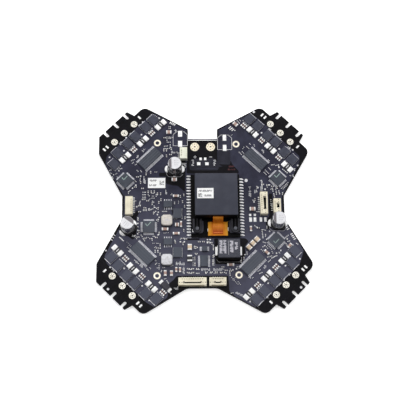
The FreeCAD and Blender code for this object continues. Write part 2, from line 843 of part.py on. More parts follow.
save("main_board", make_main_board())
save("mounting_ring_pads", make_mounting_rings())
save("power_pads", make_power_pads())
save("motor_pads", make_motor_pads())
save("bare_pads", make_bare_pads())

arm_words = {"ul": "upper_left", "ur": "upper_right", "ll": "lower_left", "lr": "lower_right"}
for arm in arm_turn:
    words = arm_words[arm]
    save("mosfets_" + words, make_mosfets(arm))
    save("gate_driver_" + words, make_gate_driver(arm))
    save("motor_controller_" + words, make_controller(arm))
    save("shunt_resistors_" + words, make_shunts(arm))
save("mosfet_leads", make_mosfet_leads())
save("gate_driver_leads", make_gate_driver_leads())
save("motor_controller_leads", make_controller_leads())
save("shunt_terminals", make_shunt_terminals())

bank = chip_bank_items()
save("chip_banks", [item[0] for item in bank])
tan = tan_chip_items()
save("chip_capacitors", [item[0] for item in tan])
cream = cream_chip_items()
save("large_chip_capacitors", [item[0] for item in cream])
save("tiny_chips", make_tiny_chips())
diode_body, diode_ends = make_diode()
save("diode_body", diode_body)
save("chip_end_caps", [end for item in bank + tan + cream for end in item[1]] + diode_ends)

save("capacitor_cans", [turn(can_body(), turned, x, y) for x, y, turned in can_places])
save("capacitor_bases", [turn(can_base().cut(can_body()), turned, x, y)
                         for x, y, turned in can_places])
save("capacitor_terminals", [turn(end, turned, x, y) for x, y, turned in can_places
                             for end in can_terminals()])
save("power_inductor_body", make_power_inductor())
save("power_inductor_terminals", make_power_inductor_terminals())
save("filter_inductor_cores", [turn(filter_inductor_core(), 0, x, y) for x, y in filter_inductor_places])
save("filter_inductor_bases", [turn(filter_inductor_base(), 0, x, y) for x, y in filter_inductor_places])

for name in housings:
    save(name, make_housing(name))
save("connector_contacts", make_contacts())
save("small_chip_packages", make_small_packages())
save("small_chip_leads", make_small_package_leads())

save("module_board", make_module_board())
save("module_solder_joints", make_module_joints())
save("sensor_cover", make_sensor_cover())
save("sensor_base", make_sensor_base())
save("sensor_board", make_sensor_board())
save("foam_pads", make_foam_pads())
save("flex_head", make_flex_head())
save("flex_strip", make_flex_strip())
save("rubber_cradles", [turn(cradle(), 0, x, y) for x, y in cradle_places])
save("tether_pins", [turn(tether_pin(), 0, x, y) for x, y in cradle_places])
save("module_label", make_module_label())
save("board_label", make_board_label())
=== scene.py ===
import math
import random

import bmesh
import bpy
from mathutils import Matrix, Vector


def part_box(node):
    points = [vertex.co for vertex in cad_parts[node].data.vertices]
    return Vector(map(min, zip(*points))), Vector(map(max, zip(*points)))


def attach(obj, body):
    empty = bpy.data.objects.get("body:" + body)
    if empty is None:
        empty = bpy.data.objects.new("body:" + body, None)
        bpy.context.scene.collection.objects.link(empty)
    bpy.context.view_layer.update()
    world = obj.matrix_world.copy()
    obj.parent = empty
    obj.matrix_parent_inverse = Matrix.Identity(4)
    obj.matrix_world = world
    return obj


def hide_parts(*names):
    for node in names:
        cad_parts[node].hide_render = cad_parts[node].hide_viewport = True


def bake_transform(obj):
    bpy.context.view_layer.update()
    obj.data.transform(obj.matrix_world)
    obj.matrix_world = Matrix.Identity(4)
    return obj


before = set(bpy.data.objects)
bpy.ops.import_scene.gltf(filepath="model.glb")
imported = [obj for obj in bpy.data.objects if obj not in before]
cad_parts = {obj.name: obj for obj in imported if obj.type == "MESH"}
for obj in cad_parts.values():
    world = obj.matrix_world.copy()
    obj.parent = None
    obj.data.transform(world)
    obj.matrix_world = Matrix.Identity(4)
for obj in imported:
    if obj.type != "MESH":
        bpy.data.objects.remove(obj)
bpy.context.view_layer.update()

MM = 0.001
random.seed(7)

# ---- Camera ----
# The eye stands half a metre above the board, a little in front of it, and looks down about
# 18 degrees off the vertical with a long lens.
eye = bpy.data.cameras.new("eye")
eye.lens = 87.0
eye.clip_start = 0.01
camera = bpy.data.objects.new("eye", eye)
bpy.context.scene.collection.objects.link(camera)
tilt, pan, roll = 0.313578, 0.0256746, 0.0122539
view_turn = Matrix.Rotation(-tilt, 3, "X") @ Matrix.Rotation(pan, 3, "Y") @ Matrix.Rotation(roll, 3, "Z")
eye_place = Vector((-15.14, -174.31, 543.82)) * MM
camera.matrix_world = Matrix.Translation(eye_place) @ view_turn.transposed().to_4x4()
bpy.context.scene.camera = camera
bpy.context.scene.view_settings.view_transform = "Standard"

# ---- Floor and light ----
# A pale sheet of studio paper under the board, a soft box behind and one at each side, a small
# lamp overhead, and a dim white room all round.
bpy.ops.object.select_all(action="DESELECT")
bpy.ops.mesh.primitive_plane_add(size=6, location=(0, 0, -0.0002))
floor = bpy.context.object
floor.name = "studio_floor"
floor_paint = bpy.data.materials.new("studio_paper")
floor_paint.use_nodes = True
paper_inputs = floor_paint.node_tree.nodes["Principled BSDF"].inputs
paper_inputs["Base Color"].default_value = (0.92, 0.92, 0.92, 1)
paper_inputs["Roughness"].default_value = 0.9
paper_inputs["Emission Color"].default_value = (1, 1, 1, 1)
paper_inputs["Emission Strength"].default_value = 0.5
floor.data.materials.append(floor_paint)

room = bpy.data.worlds.new("white_room")
room.use_nodes = True
room.node_tree.nodes["Background"].inputs["Color"].default_value = (1, 1, 1, 1)
room.node_tree.nodes["Background"].inputs["Strength"].default_value = 0.13
bpy.context.scene.world = room


def add_lamp(name, place, size, watts):
    lamp = bpy.data.lights.new(name, "AREA")
    lamp.shape = "SQUARE"
    lamp.size = size
    lamp.energy = watts
    stand = bpy.data.objects.new(name, lamp)
    stand.location = place
    stand.rotation_euler = (-Vector(place)).to_track_quat("-Z", "Y").to_euler()
    bpy.context.scene.collection.objects.link(stand)


add_lamp("back_softbox", (0.0, 0.95, 0.75), 0.7, 7.5)
add_lamp("left_softbox", (-0.95, 0.30, 0.75), 0.6, 6.0)
add_lamp("right_softbox", (0.95, 0.25, 0.75), 0.6, 6.0)
add_lamp("overhead_lamp", (0.0, 0.08, 0.95), 0.3, 1.6)

# ---- Main board ----
# A 1.6 mm glass-fibre board under black solder mask. Copper areas beneath the mask show as
# slightly raised slate plates; the bare laminate between them and at the arm ends stays near black.


class Value:
    """A socket inside a finish; arithmetic on it adds Math nodes."""

    def __init__(self, finish, socket):
        self.finish = finish
        self.socket = socket

    def maths(self, operation, first, second):
        return self.finish.node("ShaderNodeMath", {"operation": operation}, {0: first, 1: second})

    def __add__(self, other):
        return self.maths("ADD", self, other)

    def __sub__(self, other):
        return self.maths("SUBTRACT", self, other)

    def __mul__(self, other):
        return self.maths("MULTIPLY", self, other)

    def __gt__(self, other):
        return self.maths("GREATER_THAN", self, other)

    def __lt__(self, other):
        return self.maths("LESS_THAN", self, other)


class Finish:
    """A procedural material, built from one Principled shader outwards."""

    def __init__(self, name, **fixed):
        self.material = bpy.data.materials.new(name)
        self.material.use_nodes = True
        self.tree = self.material.node_tree
        self.shader = self.tree.nodes["Principled BSDF"]
        for socket, value in fixed.items():
            self.shader.inputs[socket.replace("_", " ")].default_value = value

    def node(self, kind, settings, sockets, output=0):
        made = self.tree.nodes.new(kind)
        for key, value in settings.items():
            if key == "stops":
                for stop in value[2:]:
                    made.color_ramp.elements.new(stop[0])
                for element, stop in zip(made.color_ramp.elements, value):
                    element.position = stop[0]
                    element.color = stop[1]
            else:
                setattr(made, key, value)
        for key, value in sockets.items():
            if isinstance(value, Value):
                self.tree.links.new(value.socket, made.inputs[key])
            else:
                made.inputs[key].default_value = value
        return Value(self, made.outputs[output])

    def place(self):
        return self.node("ShaderNodeTexCoord", {}, {}, "Object")

    def axes(self):
        split = self.node("ShaderNodeSeparateXYZ", {}, {0: self.place()})
        outputs = split.socket.node.outputs
        return [Value(self, outputs[i]) for i in range(3)]

    def noise(self, scale, detail=2.0, where=None):
        sockets = {"Vector": where or self.place(), "Scale": scale, "Detail": detail}
        return self.node("ShaderNodeTexNoise", {}, sockets)

    def wave(self, axis, pace):
        return self.node("ShaderNodeMath", {"operation": "SINE"}, {0: axis * pace})

    def mix(self, factor, first, second):
        return self.node("ShaderNodeMix", {"data_type": "RGBA"}, {0: factor, 6: first, 7: second}, 2)

    def spread(self, value, low, high, to_low, to_high):
        sockets = {0: value, 1: low, 2: high, 3: to_low, 4: to_high}
        return self.node("ShaderNodeMapRange", {}, sockets)

    def tone(self, value, low, high, first, second):
        """Two colours shared out by a noise."""
        return self.mix(self.spread(value, low, high, 0, 1), shade(*first), shade(*second))

    def roughen(self, value, low, high):
        """Roughness between two levels, shared out by a noise."""
        self.feed("Roughness", self.spread(value, 0.3, 0.7, low, high))

    def feed(self, socket, value):
        self.tree.links.new(value.socket, self.shader.inputs[socket])

    def bump(self, height, distance, strength=0.5):
        sockets = {"Height": height, "Distance": distance, "Strength": strength}
        self.feed("Normal", self.node("ShaderNodeBump", {}, sockets))


def shade(red, green, blue):
    """A colour from its everyday 0-255 values."""
    linear = []
    for part in (red, green, blue):
        part = part / 255
        linear.append(part / 12.92 if part <= 0.04045 else ((part + 0.055) / 1.055) ** 2.4)
    return (*linear, 1)


WEAVE_PACE = 7800.0


def masked_finish(name, dark, light, rough, front_sheen_lift=0):
    """Solder mask: a thin glossy lacquer with faint cloudiness and the glass weave under it; given a front
    lift, the tone turns paler towards the front as a painted sheen.
    """
    mask = Finish(name, Coat_Weight=0.03, Coat_Roughness=0.3, Specular_IOR_Level=0.07)
    cloud = mask.noise(180, 3)
    fleck = mask.noise(2600, 2)
    tone = mask.tone(cloud, 0.35, 0.68, dark, light)
    tone = mask.mix(mask.spread(fleck, 0.56, 0.72, 0, 0.35), tone, shade(*[c + 14 for c in light]))
    x, y, z = mask.axes()
    # Painted sheen: the tone turns paler towards the front of the board.
    if front_sheen_lift:
        painted_sheen_tone = mask.mix(cloud, shade(*[c + front_sheen_lift for c in dark]),
                        shade(*[c + front_sheen_lift + 3 for c in light]))
        tone = mask.mix(mask.spread(y, 0.012, -0.014, 0, 1), tone, painted_sheen_tone)
    mask.feed("Base Color", tone)
    mask.roughen(cloud, rough - 0.06, rough + 0.08)
    weave = mask.wave(x, WEAVE_PACE) * mask.wave(y, WEAVE_PACE)
    mask.bump(weave + fleck * 0.6, 0.00003, 0.35)
    return mask.material


board_black = masked_finish("black_solder_mask", (9, 8, 12), (17, 16, 22), 0.5)
# The last number paints a paler sheen towards the front.
slate_mask = masked_finish("mask_over_copper", (44, 44, 58), (55, 56, 73), 0.5, 20)


def dress(node, material):
    """Gives a CAD node its finish."""
    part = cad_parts[node]
    part.data.materials.clear()
    part.data.materials.append(material)


dress("main_board", board_black)
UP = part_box("main_board")[1].z / MM
INK_LEVEL = UP + 0.03
arm_turn = {"ul": 45, "ur": -45, "ll": 135, "lr": -135}
arm_names = {"upper_left": "ul", "upper_right": "ur", "lower_left": "ll", "lower_right": "lr"}


def on_arm(arm, across, along):
    """World place in mm of a point given across an arm and out along it."""
    turn = math.radians(arm_turn[arm])
    return (across * math.cos(turn) - along * math.sin(turn),
            across * math.sin(turn) + along * math.cos(turn))


def flat_shape(name, outlines, low, thickness, corner=0.0):
    """A thin plate cut to one or more closed outlines in mm; an outline inside another is a hole."""
    curve = bpy.data.curves.new(name, "CURVE")
    curve.dimensions = "2D"
    curve.fill_mode = "BOTH"
    curve.extrude = thickness / 2 * MM
    for outline in outlines:
        points = rounded(outline, corner) if corner else outline
        spline = curve.splines.new("POLY")
        spline.points.add(len(points) - 1)
        for point, (x, y) in zip(spline.points, points):
            point.co = (x * MM, y * MM, 0, 1)
        spline.use_cyclic_u = True
    plate = bpy.data.objects.new(name, curve)
    bpy.context.scene.collection.objects.link(plate)
    plate.location.z = (low + thickness / 2) * MM
    bpy.ops.object.select_all(action="DESELECT")
    plate.select_set(True)
    bpy.context.view_layer.objects.active = plate
    bpy.ops.object.convert(target="MESH")
    plate = bpy.context.object
    bpy.ops.object.transform_apply(location=True, rotation=True, scale=True)
    return plate


def rounded(outline, radius):
    """The outline with each corner turned into a short arc."""
    points = []
    for i, (x, y) in enumerate(outline):
        here = Vector((x, y))
        before = Vector(outline[i - 1]) - here
        after = Vector(outline[(i + 1) % len(outline)]) - here
        run = min(radius, before.length * 0.45, after.length * 0.45)
        start = here + before.normalized() * run
        end = here + after.normalized() * run
        for step in range(5):
            t = step / 4
            spot = start * (1 - t) ** 2 + here * 2 * t * (1 - t) + end * t * t
            points.append((spot.x, spot.y))
    return points


def finish_piece(piece, name, body, material, replaced=()):
    piece.name = name
    piece.data.name = name
    piece.data.materials.clear()
    piece.data.materials.append(material)
    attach(piece, body)
    if replaced:
        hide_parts(*replaced)
    return piece


copper_outer = [
    on_arm("ul", 27.2, 40.2), (-9.5, 47.6), (-9.4, 42.2), (-9.2, 42.2), (9.2, 42.2), (9.4, 47.6),
    on_arm("ur", -27.2, 40.4), on_arm("ur", -21.2, 61.2), on_arm("ur", -15.5, 62.4),
    on_arm("ur", 17.5, 62.2), on_arm("ur", 19.6, 60.8), on_arm("ur", 21.6, 56.5), on_arm("ur", 27.0, 39.0),
    (45.4, 6.5), (45.4, -6.5), on_arm("lr", -26.9, 39.2), on_arm("lr", -21.8, 58.4),
    on_arm("lr", -18.5, 60.2), on_arm("lr", -14.0, 62.4), on_arm("lr", 18.8, 62.4),
    on_arm("lr", 21.4, 61.4), on_arm("lr", 24.8, 49.5), (14.0, -49.5), (13.6, -40.4), (-15.6, -40.4),
    (-17.2, -42.6), (-19.6, -44.6), (-20.8, -52.8), on_arm("ll", -21.2, 61.0), on_arm("ll", -15.5, 62.4),
    on_arm("ll", 15.2, 62.2), on_arm("ll", 19.4, 60.2), on_arm("ll", 26.6, 38.6), (-46.0, -6.0),
    (-45.6, 7.2), on_arm("ul", -26.8, 39.2), on_arm("ul", -21.6, 58.6), on_arm("ul", -17.5, 61.8),
    on_arm("ul", 14.5, 62.3), on_arm("ul", 21.2, 61.4),
]
bare_windows = [
    [(-25.5, 21.2), (-25.5, 18.8), (-21.6, 18.8), (-21.6, 14.4), (-17.5, 13.4), (-14.8, 13.2), (-10.6, 9.4),
     (-10.2, 21.0), (-9.9, 30.0), (-13.2, 30.2), (-14.6, 27.6), (-19.8, 21.2)],
    [(-9.4, 41.6), (-9.4, 20.6), (20.8, 20.6), (20.8, 22.2), (16.8, 26.8), (16.6, 28.4), (8.6, 28.6),
     (8.6, 41.6)],
    [(5.9, -18.6), (23.8, -18.6), (25.6, -20.4), (23.2, -23.4), (23.6, -28.4), (21.2, -33.8), (6.4, -33.8),
     (6.0, -26.5)],
    [(-45.8, -5.4), (-40.6, -5.0), (-38.0, -1.2), (-37.0, -3.6), (-38.4, -6.2), (-38.4, -17.6),
     (-40.4, -19.2), (-46.8, -14.2)],
    [(37.8, 8.2), (40.0, 8.2), (40.0, -3.0), (38.8, -12.6), (36.2, -13.8), (35.6, -9.4), (37.8, -5.2)],
    [(-10.2, -18.6), (-2.4, -18.6), (-2.4, -19.6), (-10.2, -19.6)],
]
copper = flat_shape("copper_areas", [copper_outer] + bare_windows, UP, 0.03, 0.7)
finish_piece(copper, "copper_areas_under_mask", "board", slate_mask)

dim_mask = masked_finish("mask_over_inner_copper", (36, 36, 45), (46, 46, 56), 0.44)
lobes = [
    [(-7.8, 28.4), (-7.8, 22.6), (9.2, 22.6), (9.2, 28.2), (6.4, 30.0), (-5.6, 30.0)],
    [(8.9, 35.2), (8.9, 26.6), (10.8, 25.2), (14.2, 25.2), (16.2, 26.8), (16.2, 35.2)],
]
inner_copper = flat_shape("inner_copper", lobes, UP + 0.001, 0.03, 1.8)
finish_piece(inner_copper, "inner_copper_lobes", "board", dim_mask)
step_outline = [(-3.8, 23.5), (8.0, 23.5), (8.0, 23.9), (-3.8, 23.9)]
inner_step = flat_shape("inner_step", [step_outline], INK_LEVEL, 0.015, 0.2)
finish_piece(inner_step, "inner_copper_step", "board", slate_mask)


# ---- Printed white legend ----
# White ink on the mask: the outlines of the two empty capacitor footprints, the polarity signs
# beside the power pads, the dot by the module, and plain bars where a board carries its legend.


def ink_line(outlines, x0, y0, x1, y1, width=0.22):
    run = Vector((x1 - x0, y1 - y0))
    side = Vector((-run.y, run.x)).normalized() * width / 2
    outlines.append([(x0 + side.x, y0 + side.y), (x1 + side.x, y1 + side.y), (x1 - side.x, y1 - side.y),
                     (x0 - side.x, y0 - side.y)])


def ink_dot(outlines, x, y, radius, sides=14):
    outlines.append([(x + radius * math.cos(2 * math.pi * i / sides),
                      y + radius * math.sin(2 * math.pi * i / sides))
                     for i in range(sides)])


def ink_bars(outlines, x, y, count, turn=0, cell=1.0, tall=1.15, width=0.27):
    """A row of plain upright bars of uneven height, two to a cell, in place of any wording."""
    angle = math.radians(turn)
    for i in range(count):
        for part in (0, 1):
            along = (i + part * 0.5 + 0.1) * cell
            low = random.choice([0, 0, 0.4]) * tall
            high = random.choice([1, 1, 0.6]) * tall
            ax = x + along * math.cos(angle) - low * math.sin(angle)
            ay = y + along * math.sin(angle) + low * math.cos(angle)
            bx = x + along * math.cos(angle) - high * math.sin(angle)
            by = y + along * math.sin(angle) + high * math.cos(angle)
            ink_line(outlines, ax, ay, bx, by, width)


def printed(outlines, low, name, material, thickness=0.012, body="board"):
    """A thin printed or plated layer cut to the outlines."""
    return finish_piece(flat_shape(name, outlines, low, thickness), name, body, material)


def ink_finish(name, colour, other, rough=0.6, scale=1500, detail=2):
    """A worn print: two shades of one ink."""
    layer = Finish(name, Roughness=rough)
    wear = layer.noise(scale, detail)
    layer.feed("Base Color", layer.mix(wear, shade(*colour), shade(*other)))
    layer.bump(wear, 0.00001, 0.3)
    return layer.material


legend = []
for left, low, right, high, cut in ((-17.3, 38.0, -8.95, 46.9, 1.9), (8.75, 35.5, 17.1, 44.7, 1.9)):
    top_edge = 3
    corners = [(left, low), (right, low), (right, high - cut), (right - cut, high), (left + cut, high),
               (left, high - cut)]
    for i, corner in enumerate(corners):
        following = corners[(i + 1) % len(corners)]
        if i == top_edge:
            middle = (left + right) / 2
            ink_line(legend, *corner, middle + 1.6, high)
            ink_line(legend, middle - 1.6, high, *following)
        else:
            ink_line(legend, *corner, *following)
ink_line(legend, -16.6, 47.6, -15.0, 47.6, 0.3)
ink_line(legend, -15.8, 46.8, -15.8, 48.4, 0.3)
ink_line(legend, -5.4, 30.9, -3.6, 30.9, 0.32)
ink_line(legend, -4.5, 30.0, -4.5, 31.8, 0.32)
ink_line(legend, 3.7, 30.9, 5.4, 30.9, 0.32)
ink_dot(legend, 25.0, 16.3, 0.95, 20)
for arm, across, along in (("ur", -20.3, 63.7), ("ll", 4.3, 71.9), ("lr", -4.9, 72.0)):
    ink_dot(legend, *on_arm(arm, across, along), 0.72)
for arm in arm_turn:
    for across in (-5.6, 2.4, 10.4):
        x, y = on_arm(arm, across - 1.2, 61.2)
        ink_bars(legend, x, y, 2, arm_turn[arm], 0.95, 1.5, 0.3)
    for across, along in ((-7.9, 57.2), (6.4, 57.2), (21.2, 57.2), (-16.6, 60.3), (-1.2, 62.2),
                          (12.5, 62.3)):
        ink_dot(legend, *on_arm(arm, across, along), 0.5)
    x, y = on_arm(arm, -0.4, 48.5)
    ink_bars(legend, x, y, 2, arm_turn[arm], 1.2, 1.5, 0.3)
captions = [
    (-15.9, -34.2, 4, 0, 1.4), (-1.6, -37.6, 4, 0, 1.5), (5.2, -37.6, 5, 0, 1.5), (26.3, 12.4, 5, -90, 1.4),
    (-12.4, 26.0, 2, 0, 1.2), (30.6, 8.6, 2, 90, 1.0), (17.4, -50.6, 4, -28, 1.2),
    (-33.2, 14.6, 3, 90, 1.0), (-38.4, 30.2, 2, 45, 1.1), (-38.6, 3.9, 2, 90, 2.0),
    (-36.0, 2.2, 2, 90, 0.9), (-17.0, -48.3, 2, 0, 1.8), (-11.0, -39.2, 4, 90, 1.1),
    (5.8, -34.4, 4, 90, 1.2), (-6.6, 29.0, 3, -90, 1.4), (6.2, 29.0, 3, -90, 1.4), (-18.4, 33.2, 2, 0, 1.5),
    (-14.2, 33.2, 1, 90, 1.3), (-9.6, 24.2, 3, 90, 1.2), (-11.9, 28.6, 3, 0, 1.1), (34.4, 10.2, 5, 90, 1.3),
    (28.2, 4.4, 1, -90, 1.0), (-20.9, 8.4, 1, 90, 0.9),
]
for x, y, count, turn, tall in captions:
    ink_bars(legend, x, y, count, turn, 1.3 if tall > 1.2 else 1.05, tall, 0.3)
for x, y in ((-36.5, 1.3), (-38.3, 0.5), (-21.4, 8.5), (29.3, 3.1), (-4.4, -27.8), (35.9, 10.9)):
    ink_dot(legend, x, y, 0.5)
for x, y in ((-16.45, 23.4), (42.55, -9.6)):
    half, cut = 4.75, 1.5
    ink_line(legend, x - half, y - 2.4, x - half, y - half + cut, 0.13)
    ink_line(legend, x - half, y - half + cut, x - half + cut, y - half, 0.13)
    ink_line(legend, x - half + cut, y - half, x + half - cut, y - half, 0.13)
    ink_line(legend, x + half - cut, y - half, x + half, y - half + cut, 0.13)
for corners in ([(7.2, -31.2), (8.2, -32.5), (20.6, -32.5), (21.3, -31.6), (21.3, -29.6)],
                [(-9.6, -18.2), (4.6, -18.2)], [(-4.0, -16.9), (-9.2, -16.9)],
                [(-18.4, -1.0), (-16.9, -1.0), (-16.9, -6.4)],
                [(-12.5, -24.2), (-12.5, -29.6), (-13.4, -30.2)],
                [(38.0, 18.6), (43.0, 13.4)], [(-50.2, 19.2), (-45.4, 14.2), (-43.0, 14.2)]):
    for start, stop in zip(corners, corners[1:]):
        ink_line(legend, *start, *stop, 0.13)
ink = Finish("white_ink", Roughness=0.6)
patchy = ink.noise(1500, 2)
ink.feed("Base Color", ink.tone(patchy, 0.4, 0.7, (226, 226, 228), (190, 190, 196)))
ink.bump(patchy, 0.00001, 0.4)
printed(legend, INK_LEVEL, "printed_legend", ink.material)

# ---- Plated pads ----
# Copper pads left free of mask: gold rings round the screw holes, tinned discs for the motor
# wires and the battery wires, and small tinned rectangles for parts that were not fitted.


def deselect():
    if bpy.context.object and bpy.context.object.mode != "OBJECT":
        bpy.ops.object.mode_set(mode="OBJECT")
    bpy.ops.object.select_all(action="DESELECT")


def settle():
    """Puts the active piece's place into its mesh."""
    bpy.ops.object.transform_apply(location=True, rotation=True, scale=True)
    return bpy.context.object


def copy_to(master, places, name):
    """Copies the master to each (x, y, z, turn) in mm and degrees and joins the copies."""
    deselect()
    copy = None
    for x, y, z, turn in places:
        copy = bpy.data.objects.new(name, master.data.copy())
        heading = Matrix.Rotation(math.radians(turn), 4, "Z")
        copy.matrix_world = Matrix.Translation((x * MM, y * MM, z * MM)) @ heading
        bpy.context.scene.collection.objects.link(copy)
        copy.select_set(True)
    bpy.context.view_layer.objects.active = copy
    bpy.data.objects.remove(master)
    bpy.ops.object.join()
    return settle()


def join_all(pieces):
    deselect()
    for piece in pieces:
        piece.select_set(True)
    bpy.context.view_layer.objects.active = pieces[0]
    bpy.ops.object.join()
    return settle()


def solids(node):
    """Middle x and y, underside, turn, length, width and height in mm of each block in a CAD node."""
    mesh = bmesh.new()
    mesh.from_mesh(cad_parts[node].data)
    bmesh.ops.remove_doubles(mesh, verts=mesh.verts, dist=1e-7)
    seen = set()
    found = []
    for vert in mesh.verts:
        if vert.index in seen:
            continue
        group, queue = [], [vert]
        seen.add(vert.index)
        while queue:
            here = queue.pop()
            group.append(here.co)
            for edge in here.link_edges:
                other = edge.other_vert(here)
                if other.index not in seen:
                    seen.add(other.index)
                    queue.append(other)
        best = None
        for turn in (0, 45):
            axis = Vector((math.cos(math.radians(turn)), math.sin(math.radians(turn)), 0))
            side = Vector((-axis.y, axis.x, 0))
            along = [p.dot(axis) for p in group]
            across = [p.dot(side) for p in group]
            length, width = max(along) - min(along), max(across) - min(across)
            middle = axis * (max(along) + min(along)) / 2 + side * (max(across) + min(across)) / 2
            if best is None or length * width < best[0]:
                best = (length * width, middle, turn, length, width)
        middle, turn, length, width = best[1:]
        if width > length:
            length, width, turn = width, length, turn + 90
        low, high = min(p.z for p in group), max(p.z for p in group)
        found.append((middle.x / MM, middle.y / MM, low / MM, turn, length / MM, width / MM,
                      (high - low) / MM))
    mesh.free()
    return found


def spots_of(node):
    """Middle x and y, underside and turn of each block in a CAD node."""
    return [block[:4] for block in solids(node)]


def both_ends(spots, reach):
    """The two places that far each way along every (x, y, z, turn)."""
    ends = []
    for x, y, z, turn in spots:
        angle = math.radians(turn)
        for side in (-1, 1):
            ends.append((x + side * reach * math.cos(angle), y + side * reach * math.sin(angle), z, turn))
    return ends


def add_disc(x, y, low, radius, height, sides=40, rim=0.0):
    deselect()
    bpy.ops.mesh.primitive_cylinder_add(vertices=sides, radius=radius * MM, depth=height * MM,
                                        location=(x * MM, y * MM, (low + height / 2) * MM))
    bpy.ops.object.mode_set(mode="EDIT")
    if rim:
        bpy.ops.mesh.select_mode(type="EDGE")
        bpy.ops.mesh.select_all(action="DESELECT")
        mesh = bmesh.from_edit_mesh(bpy.context.object.data)
        for edge in mesh.edges:
            edge.select = all(v.co.z > 0 for v in edge.verts)
        bmesh.update_edit_mesh(bpy.context.object.data)
        bpy.ops.mesh.bevel(offset=rim * MM, segments=2)
    bpy.ops.object.mode_set(mode="OBJECT")
    return settle()


def spun(name, profile, steps=56):
    """A turned piece: the profile of (radius, height) in mm swept round the upright axis."""
    deselect()
    mesh = bpy.data.meshes.new(name)
    mesh.from_pydata([(r * MM, 0, z * MM) for r, z in profile],
                     [(i, i + 1) for i in range(len(profile) - 1)], [])
    piece = bpy.data.objects.new(name, mesh)
    bpy.context.scene.collection.objects.link(piece)
    piece.select_set(True)
    bpy.context.view_layer.objects.active = piece
    bpy.ops.object.mode_set(mode="EDIT")
    bpy.ops.mesh.select_all(action="SELECT")
    bpy.ops.mesh.spin(steps=steps, angle=2 * math.pi, center=(0, 0, 0), axis=(0, 0, 1))
    bpy.ops.mesh.select_all(action="SELECT")
    bpy.ops.mesh.remove_doubles(threshold=1e-7)
    bpy.ops.mesh.select_all(action="SELECT")
    bpy.ops.mesh.normals_make_consistent(inside=False)
    bpy.ops.object.mode_set(mode="OBJECT")
    bpy.ops.object.shade_smooth_by_angle(angle=math.radians(35))
    return piece


def metal_finish(name, colour, mottle_tone, metallic, rough):
    """A thin plated or tinned surface: a little uneven in tone, with fine dimples."""
    metal = Finish(name, Metallic=metallic)
    cloud = metal.noise(700, 3)
    fine = metal.noise(4200, 2)
    metal.feed("Base Color", metal.tone(cloud, 0.35, 0.7, colour, mottle_tone))
    metal.roughen(fine, rough - 0.08, rough + 0.1)
    metal.bump(cloud + fine * 0.4, 0.00004, 0.5)
    return metal.material


tin = metal_finish("tinned_ends", (252, 252, 252), (226, 226, 226), 0.15, 0.42)
cream_tin = metal_finish("cream_tinned_copper", (246, 243, 232), (218, 213, 198), 0.2, 0.4)
gold = metal_finish("gold_plate", (252, 246, 232), (236, 226, 204), 0.15, 0.42)
dark_hole = Finish("shadowed_hole", Roughness=0.8)
depth = dark_hole.noise(900, 2)
dark_hole.feed("Base Color", dark_hole.mix(depth, shade(26, 22, 18), shade(52, 43, 33)))

dress("mounting_ring_pads", gold)
# Painted shade: the hole walls are darker and browner than the gold ring, as the shade inside the holes.
barrel = metal_finish("barrel_painted_shade", (222, 206, 176), (178, 158, 122), 0.2, 0.45)
ring_spots = [(x, y, 0, 0) for x, y, low, turn in spots_of("mounting_ring_pads")]
finish_piece(copy_to(spun("barrel", [(1.095, 0.02), (1.095, UP - 0.02), (1.03, UP - 0.02), (1.03, 0.02),
                                     (1.095, 0.02)], 40),
                     ring_spots, "barrel"), "plated_hole_barrels", "board", barrel)
dress("power_pads", metal_finish("pale_gold_plate", (246, 238, 218), (226, 212, 184), 0.3, 0.38))
dress("bare_pads", tin)


motor_spots = [(x, y, UP, 45) for x, y, low, turn in spots_of("motor_pads")]
motor_disc = copy_to(add_disc(0, 0, 0, 1.95, 0.1, 48, 0.04), motor_spots, "motor_pad")
finish_piece(motor_disc, "motor_wire_pads", "board", cream_tin, ("motor_pads",))
vias = []
for arm in arm_turn:
    for across in (-8.0, 0.0, 8.0):
        for ring in range(6):
            reach = math.radians(ring * 60 + 30)
            vias.append((across + 1.15 * math.cos(reach), 65.0 + 1.15 * math.sin(reach), arm))
via_spots = [(*on_arm(arm, across, along), UP + 0.1, 0) for across, along, arm in vias]
for x in (-4.65, 4.65):
    for ring in range(8):
        reach = math.radians(ring * 45)
        via_spots.append((x + 1.7 * math.cos(reach), 37.2 + 1.7 * math.sin(reach), UP + 0.08, 0))
finish_piece(copy_to(add_disc(0, 0, 0, 0.23, 0.012, 12), via_spots, "pad_via"), "pad_vias", "board",
             dark_hole.material)
centre_spots = [(x, y, UP + 0.1, 0) for x, y, z, turn in motor_spots]
finish_piece(copy_to(add_disc(0, 0, 0, 0.42, 0.014, 20), centre_spots, "pad_centre"), "motor_pad_centres",
             "board", dark_hole.material)

# ---- Chip resistors and capacitors ----
# Small ceramic blocks soldered flat: a fired or coated body between two tinned end caps whose
# edges are rounded by the solder.


def plain_block(length, width, height):
    """A block standing on z = 0."""
    deselect()
    bpy.ops.mesh.primitive_cube_add(size=1, location=(0, 0, height / 2 * MM),
                                    scale=(length * MM, width * MM, height * MM))
    return settle()


def soft_block(length, width, height, edge, segments=2):
    """A block standing on z = 0 with rounded edges."""
    plain_block(length, width, height)
    bpy.ops.object.mode_set(mode="EDIT")
    bpy.ops.mesh.select_all(action="SELECT")
    bpy.ops.mesh.bevel(offset=edge * MM, segments=segments)
    bpy.ops.object.mode_set(mode="OBJECT")
    return bpy.context.object


def soft_twins(node, edge, name, material, trim=0.0):
    """Stands for a CAD node of plain blocks: a rounded copy of each block in the same place."""
    groups = {}
    for x, y, low, turn, length, width, height in solids(node):
        groups.setdefault((round(length, 2), round(width, 2), round(height, 2)),
                          []).append((x, y, low, turn))
    parts = []
    for (length, width, height), spots in groups.items():
        master = soft_block(length, width - trim, height - trim / 2, min(edge, width * 0.2, height * 0.2))
        parts.append(copy_to(master, spots, name))
    whole = join_all(parts)
    deselect()
    whole.select_set(True)
    bpy.context.view_layer.objects.active = whole
    bpy.ops.object.shade_smooth_by_angle(angle=math.radians(40))
    return finish_piece(whole, name, "board", material, (node,))


